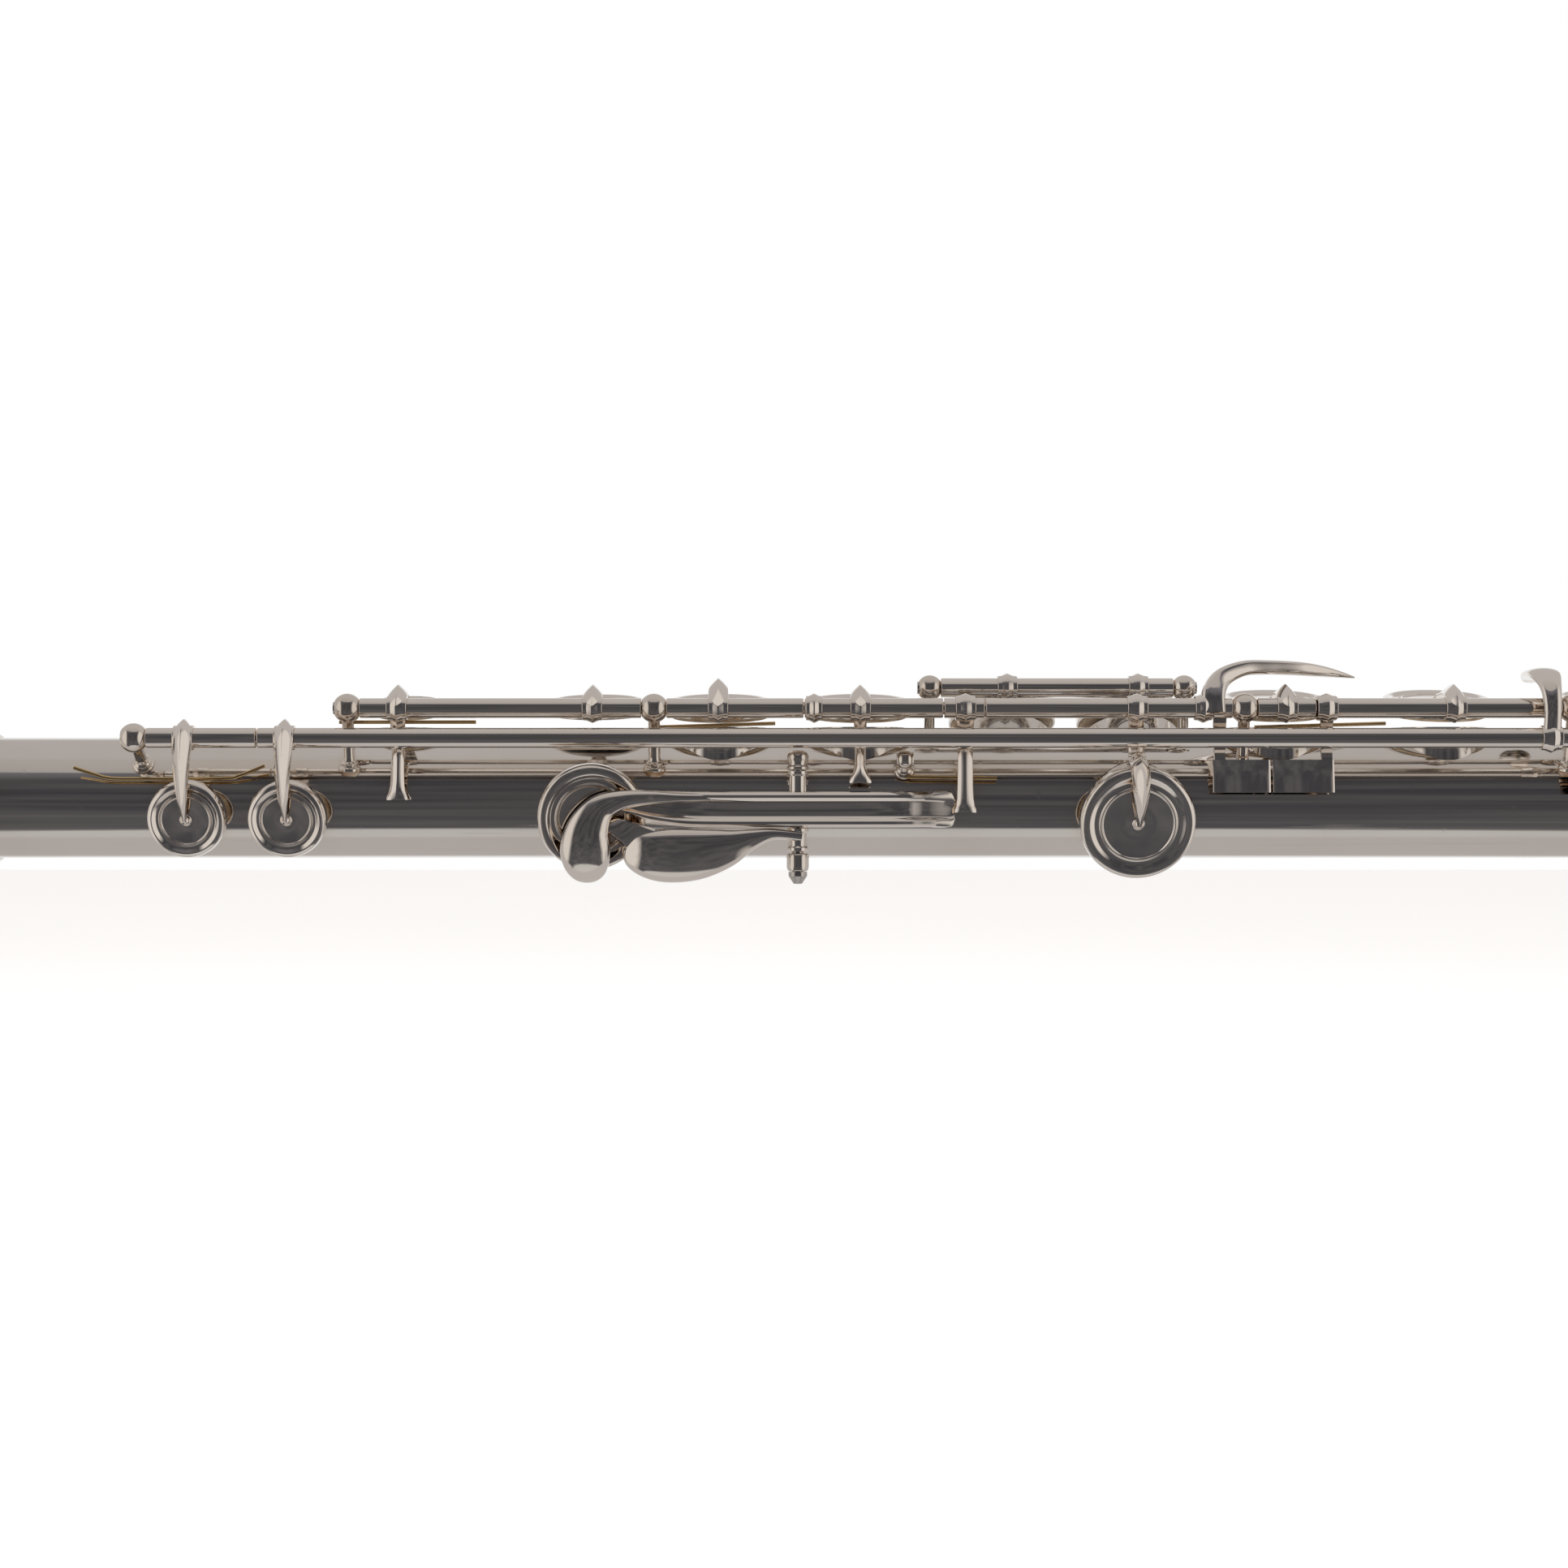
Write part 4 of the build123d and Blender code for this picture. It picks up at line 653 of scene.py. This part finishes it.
lever = Shape()
barrel(lever, -4.6, 4.35)
lever.sweep([
    (-277.4, -11.3, -1.78, 0.5, 0.72, 0.72), (-278.2, -11.5, -1.78, 0.7, 1.0, 1.0),
    (-282.5, -12.8, -1.78, 1, 1, 1),
    (-288.0, -14.2, -1.78, 1, 1, 1), (-301.0, -14.6, -1.78, 1, 1, 1), (-315.0, -14.8, -1.78, 1, 1, 1),
    (-321.0, -15.5, -1.70, 1, 1, 0.95), (-325.5, -16.7, -1.45, 1, 0.96, 0.75),
    (-329.0, -17.8, -1.1, 0.9, 0.8, 0.5),
    (-331.5, -18.2, -1.0, 0.6, 0.5, 0.3),
], ROLLED, face=(0, 0, 1), steps=6)
lever.sweep([
    (-316.0, -14.9, 0.1, 0.7, 0.7, 0.5), (-321.5, -15.9, 0.1, 0.9, 0.9, 0.5),
    (-326.0, -17.3, 0.1, 1.2, 1.0, 0.5), (-330.2, -18.4, -0.3, 1.6, 1.2, 0.5),
    (-333.4, -18.5, -1.6, 2.4, 1.5, 0.5), (-335.3, -18.5, -4.4, 3.3, 1.7, 0.5),
    (-335.9, -18.2, -7.4, 3.95, 1.9, 0.5),
    (-335.8, -17.3, -9.8, 3.8, 1.8, 0.5), (-335.6, -15.9, -11.7, 3.0, 1.5, 0.4),
    (-335.5, -14.7, -12.7, 1.8, 0.9, 0.3),
    (-335.5, -13.9, -13.1, 0.3, 0.2, 0.1),
], DOMED, face=(0, -1, 0), steps=8)
lever.finished("thumb_b_flat_lever")

posts = Shape()
for z, way in ((6.0, 28.0), (-10.2, -52.0)):
    foot = Vector((HINGE.x, *near_face(way, 9.85)))
    head = Vector((HINGE.x, HINGE.y, z))
    reach = (head - foot).length
    posts.lathe([
        (0.01, -0.2), (1.5, -0.2), (1.5, 0.5), (1.0, 1.0), (1.0, reach - 0.8), (0.01, reach - 0.4),
    ], foot, head - foot, 32)
posts.lathe([
    (0.9, 4.5), (1.75, 4.5), (1.75, 5.0), (1.45, 5.3), (1.5, 5.9), (1.8, 6.5), (1.55, 7.2), (0.8, 7.6),
    (0.01, 7.65),
], (HINGE.x, HINGE.y, 0), (0, 0, 1), 40, 0.35)
posts.lathe([
    (0.9, -8.75), (1.6, -8.75), (1.8, -9.2), (1.8, -11.0), (1.6, -11.6), (0.9, -11.6),
], (HINGE.x, HINGE.y, 0), (0, 0, 1), 40, 0.25)
posts.finished("thumb_posts")

# ------------------------------------------------------------------ right-hand keys

for name, joint, span in (
    ("f_sharp_key", "f_sharp_key_close", (-229.0, -219.7)), ("f_key", "f_key_press", (-219.5, -180.5)),
    ("e_key", "e_key_press", (-176.5, -155.2)), ("d_key", "d_key_press", (-155.0, -133.9)),
):
    key = Shape()
    x = X[name + "_pad"]
    tube(key, MAIN, *span)
    collar(key, MAIN, x)
    cup(key, x, MAIN_CUP)
    cup_arm(key, x)
    if name == "f_key":
        collar(key, MAIN, -217.9)
        strut(key, -217.8, joint)
        bridge(key, -221.6, joint, 9.8)
    if name == "e_key":
        collar(key, MAIN, -174.6, 2.6)
        strut(key, -174.6, joint)
        strut(key, -162.8, joint)
        bridge(key, -170.4, joint, 17.8)
    key.finished(name, opened(joint))

# ------------------------------------------------------------------ trill keys

for name, x, touch, spans in (
    ("d_sharp_trill", X["d_sharp_trill_pad"], -152.6, ((-405.8, -388.3), (-156.8, -148.0))),
    ("d_trill", X["d_trill_pad"], -182.9, ((-388.1, -157.0),)),
):
    key = Shape()
    for x0, x1 in spans:
        tube(key, TRILL, x0, x1)
    if name == "d_sharp_trill":
        tube(key, TRILL, -409.8, -144.0, STEEL_R, SOLID)
    collar(key, TRILL, x)
    collar(key, TRILL, touch)
    cup(key, x, 6.3, TRILL_TURN)
    y, z = TRILL
    arm(key, x, [
        (y + 0.6, z + 2.9, 0.3, 0.2, 0.3), (y - 0.5, z + 2.1, 1.9, 0.9, 0.6), (y - 1.5, z + 0.7, 3.1, 1.3, 0.8),
        (y - 2.0, z - 1.6, 3.1, 1.3, 0.9), (y - 2.5, z - 5.6, 2.5, 1.2, 0.8),
        (y - 1.7, z - 10.2, 1.5, 0.8, 0.7),
        (y + 0.1, z - 13.3, 0.5, 0.3, 0.5),
    ], outer=-1)
    key.sweep([
        (touch, -15.4, 10.2, 1.4, 0.7, 0.8), (touch, -15.9, 14.4, 1.4, 0.7, 0.7),
        (touch, -14.6, 17.8, 1.7, 0.8, 0.7),
        (touch, -11.6, 19.8, 2.4, 0.9, 0.7), (touch, -8.0, 20.1, 2.6, 0.8, 0.7),
        (touch, -5.2, 19.8, 2.2, 0.7, 0.6),
        (touch, -3.6, 19.2, 1.4, 0.4, 0.4), (touch, -3.0, 18.9, 0.4, 0.15, 0.2),
    ], DOMED, side=(1, 0, 0), steps=6)
    key.finished(name + "_key")

# ------------------------------------------------------------------ posts and springs

posts = Shape()
for x in (-374.4, -325.4, -231.0, -178.5, -131.9):
    ball_post(posts, x, MAIN, near_face(27.0, 10.45))
for x in (-280.9, -239.5):
    ball_post(posts, x, SHORT, (-2.6, 9.5), 2.1, 1.7, 0.85)
posts.finished("main_posts")

posts = Shape()
ball_post(posts, -407.8, TRILL, near_face(33.5, 9.85))
ball_post(posts, -146.0, TRILL, near_face(33.5, 10.45))
ball_post(posts, -285.3, (-12.6, 6.2), near_face(26.0, 10.45), 1.5, 1.3, 0.8)
posts.finished("trill_posts")

springs = Shape()
springs.sweep([
    (-418.2, -11.3, 4.9, SPRING_R, SPRING_R, SPRING_R), (-415.2, -11.0, 3.9, SPRING_R, SPRING_R, SPRING_R),
    (-412.6, -10.8, 3.2, SPRING_R, SPRING_R, SPRING_R),
    (-408.0, -10.75, 3.1, SPRING_R, SPRING_R, SPRING_R), (-394.6, -10.75, 3.15, SPRING_R, SPRING_R, SPRING_R),
    (-391.8, -10.85, 3.6, SPRING_R, SPRING_R, SPRING_R),
    (-387.7, -11.2, 5.2, 0.28, 0.28, 0.28),
], ROUND, face=(0, -1, 0))
springs.finished("trill_springs")

# ------------------------------------------------------------------ foot joint keys

footed = Matrix.Rotation(-FOOT_TURN, 4, "X")
posts = Shape()
for x in (-113.5, -62.0, -24.5):
    ball_post(posts, x, MAIN, near_face(27.0, 10.45))
posts.finished("foot_posts", footed)

foot_open = (Matrix.Translation((0, *MAIN)) @ Matrix.Rotation(travel("low_c_press"), 4, "X")
             @ Matrix.Translation((0, -MAIN.x, -MAIN.y)))
NEAR_ROLLER = (-6.2, 19.4)
FAR_ROLLER = (-1.0, 19.4)
ROLLER_SPAN = (-91.6, -83.6)


def fork(shape, centre):
    """Cheeks, back bar and pin that a roller turns on."""
    y, z = centre
    for x0 in (-92.9, -83.4):
        tube(shape, centre, x0, x0 + 1.1, 1.5, SOLID)
        shape.sweep([(x0 + 0.55, y, z, 0.8, 0.55, 0.55), (x0 + 0.55, y, z - 3.0, 0.8, 0.55, 0.55)],
                    FLAT, face=(1, 0, 0), steps=1)
    tube(shape, centre, -92.9, -82.3, 0.6, SOLID)
    tube(shape, (y, z - 3.0), -92.9, -82.3, 0.8, SOLID)


for name, hole, spans in (
    ("low_d_sharp", -105.8, ((-111.5, -98.2),)), ("low_c_sharp", -72.8, ((-93.4, -64.0),)),
    ("low_c", -36.9, ((-98.0, -93.6), (-60.0, -26.5))),
):
    key = Shape()
    for x0, x1 in spans:
        tube(key, MAIN, x0, x1)
    collar(key, MAIN, hole)
    cup(key, hole, MAIN_CUP)
    cup_arm(key, hole)
    if name == "low_d_sharp":
        key.sweep([
            (-105.0, -10.8, 15.6, 1.5, 0.7, 0.7), (-104.8, -14.0, 16.9, 2.2, 0.7, 0.7),
            (-104.0, -16.4, 17.3, 6.4, 0.7, 0.6),
            (-103.6, -18.6, 17.4, 9.0, 0.7, 0.6), (-103.5, -21.4, 17.4, 8.9, 0.7, 0.6),
            (-103.5, -24.0, 17.3, 5.8, 0.6, 0.5),
            (-103.5, -25.1, 17.2, 1.5, 0.3, 0.3),
        ], DOMED, side=(-1, 0, 0), steps=6)
    if name == "low_c_sharp":
        collar(key, MAIN, -86.0)
        arm(key, -86.0, [(-12.0, 15.0, 3.0, 0.8, 0.8), (-9.6, 16.6, 3.0, 0.6, 0.6), (-6.2, 16.4, 3.0, 0.5, 0.5)])
        fork(key, NEAR_ROLLER)
    if name == "low_c":
        tube(key, MAIN, -115.5, -22.5, STEEL_R, SOLID)
        arm(key, -95.6, [
            (-12.0, 15.0, 2.0, 0.8, 0.8), (-9.6, 17.0, 2.0, 0.6, 0.6), (-4.6, 17.4, 2.0, 0.6, 0.6),
            (-1.0, 16.4, 2.0, 0.6, 0.6),
        ])
        tube(key, (FAR_ROLLER[0], FAR_ROLLER[1] - 3.0), -96.4, -91.6, 0.8, SOLID)
        fork(key, FAR_ROLLER)
    key.finished(name + "_key", footed if name == "low_d_sharp" else footed @ foot_open)

for centre, name in ((NEAR_ROLLER, "c_sharp_roller"), (FAR_ROLLER, "c_roller")):
    roller = Shape()
    roller.lathe([
        (0.65, ROLLER_SPAN[0]), (1.6, ROLLER_SPAN[0]), (1.9, ROLLER_SPAN[0] + 0.8), (1.9, ROLLER_SPAN[1] - 0.8),
        (1.6, ROLLER_SPAN[1]), (0.65, ROLLER_SPAN[1]),
    ], (0, *centre), (1, 0, 0), 48, 0.3)
    roller.finished(name, footed @ foot_open)

# ------------------------------------------------------------------ studio

EYE = (-0.3046, -0.430, 0.00227)
LENS = 60.1
SENSOR = 36.0
FLOOR_Z = -0.11
FLOOR_X = (-3, 2.4)
FLOOR_Y = (-3, 3)

camera_data = bpy.data.cameras.new("camera")
camera = bpy.data.objects.new("camera", camera_data)
bpy.context.scene.collection.objects.link(camera)
bpy.context.scene.camera = camera
camera_data.sensor_width = SENSOR
camera_data.lens = LENS
camera_data.clip_start = 0.01
camera.location = EYE
camera.rotation_euler = (math.radians(90), 0, 0)

world = bpy.data.worlds.new("studio")
bpy.context.scene.world = world
world.use_nodes = True
sky = world.node_tree
sky.nodes.clear()
outlet = sky.nodes.new("ShaderNodeOutputWorld")
surround = sky.nodes.new("ShaderNodeBackground")
sky.links.new(surround.outputs["Background"], outlet.inputs["Surface"])
way = sky.nodes.new("ShaderNodeTexCoord").outputs["Generated"]
parts = sky.nodes.new("ShaderNodeSeparateXYZ")
sky.links.new(way, parts.inputs["Vector"])
side = parts.outputs["Y"]
rise = parts.outputs["Z"]
level = math_node(sky, "ADD", math_node(sky, "MULTIPLY", rise, 0.5), 0.5)
front = sky.nodes.new("ShaderNodeValToRGB")
sky.links.new(level, front.inputs["Fac"])
# Studio round the flute, from straight down at 0 to straight up at 1: the dark room is on the player's side.
FRONT_STOPS = [
    (0.0, (0.58, 0.56, 0.54)), (0.055, (0.55, 0.53, 0.51)), (0.072, (0.085, 0.083, 0.088)),
    (0.50, (0.050, 0.049, 0.054)), (0.78, (0.052, 0.051, 0.056)), (0.862, (0.16, 0.155, 0.175)),
    (0.872, (0.42, 0.39, 0.37)), (1.0, (0.48, 0.45, 0.42)),
]
while len(front.color_ramp.elements) < len(FRONT_STOPS):
    front.color_ramp.elements.new(0.5)
for element, (spot, colour) in zip(front.color_ramp.elements, FRONT_STOPS):
    element.position = spot
    element.color = (*colour, 1)
depth = math_node(sky, "ADD", math_node(sky, "MULTIPLY", side, 0.5), 0.5)
behind = ramp(sky, depth, [(0.40, 0.0), (0.46, 1.0)])
wings = ramp(sky, math_node(sky, "ABSOLUTE", parts.outputs["X"], 0), [(0.60, 0.0), (0.74, 1.0)])
cloudy = ramp(sky, noise(sky, way, 5.0, 4.0), [(0.40, 0.0), (0.70, 0.55)])
room = mix_colour(sky, cloudy, front.outputs["Color"], (0.16, 0.15, 0.15))
high = ramp(sky, level, [(0.86, 0.0), (0.872, 1.0)])
low = ramp(sky, level, [(0.055, 1.0), (0.070, 0.0)])
room = mix_colour(sky, math_node(sky, "ADD", high, low), room, front.outputs["Color"])
room = mix_colour(sky, wings, room, (0.72, 0.67, 0.62))
room = mix_colour(sky, behind, room, (0.50, 0.47, 0.45))
glow = ramp(sky, side, [(0.80, 0.0), (0.92, 1.0)])
room = mix_colour(sky, glow, room, (0.90, 0.90, 0.90))
rays = sky.nodes.new("ShaderNodeLightPath")
backdrop = mix_colour(sky, rays.outputs["Is Camera Ray"], room, (1.0, 1.0, 1.0))
sky.links.new(backdrop, surround.inputs["Color"])
surround.inputs["Strength"].default_value = 1.0

bpy.context.scene.view_settings.view_transform = "Standard"

ground = bpy.data.meshes.new("floor")
corners = [(FLOOR_X[i], FLOOR_Y[j], FLOOR_Z) for i, j in ((0, 0), (1, 0), (1, 1), (0, 1))]
ground.from_pydata(corners, [], [(0, 1, 2, 3)])
floor = bpy.data.objects.new("floor", ground)
bpy.context.scene.collection.objects.link(floor)
paint, tree, shader = new_material("pale_floor")
place = tree.nodes.new("ShaderNodeTexCoord").outputs["Object"]
tint = mix_colour(tree, noise(tree, place, 3.0), (0.93, 0.93, 0.93), (0.96, 0.96, 0.96))
tree.links.new(tint, shader.inputs["Base Color"])
shader.inputs["Roughness"].default_value = 0.9
shader.inputs["Emission Color"].default_value = (1, 1, 1, 1)
shader.inputs["Emission Strength"].default_value = 0.5
ground.materials.append(paint)
floor.visible_glossy = False

lamp_data = bpy.data.lights.new("softbox", "AREA")
lamp_data.shape = "RECTANGLE"
lamp_data.size = 1.2
lamp_data.size_y = 0.8
lamp_data.energy = 6.0
lamp = bpy.data.objects.new("softbox", lamp_data)
bpy.context.scene.collection.objects.link(lamp)
lamp.location = (-0.3, -0.1, 0.9)
lamp.visible_glossy = False
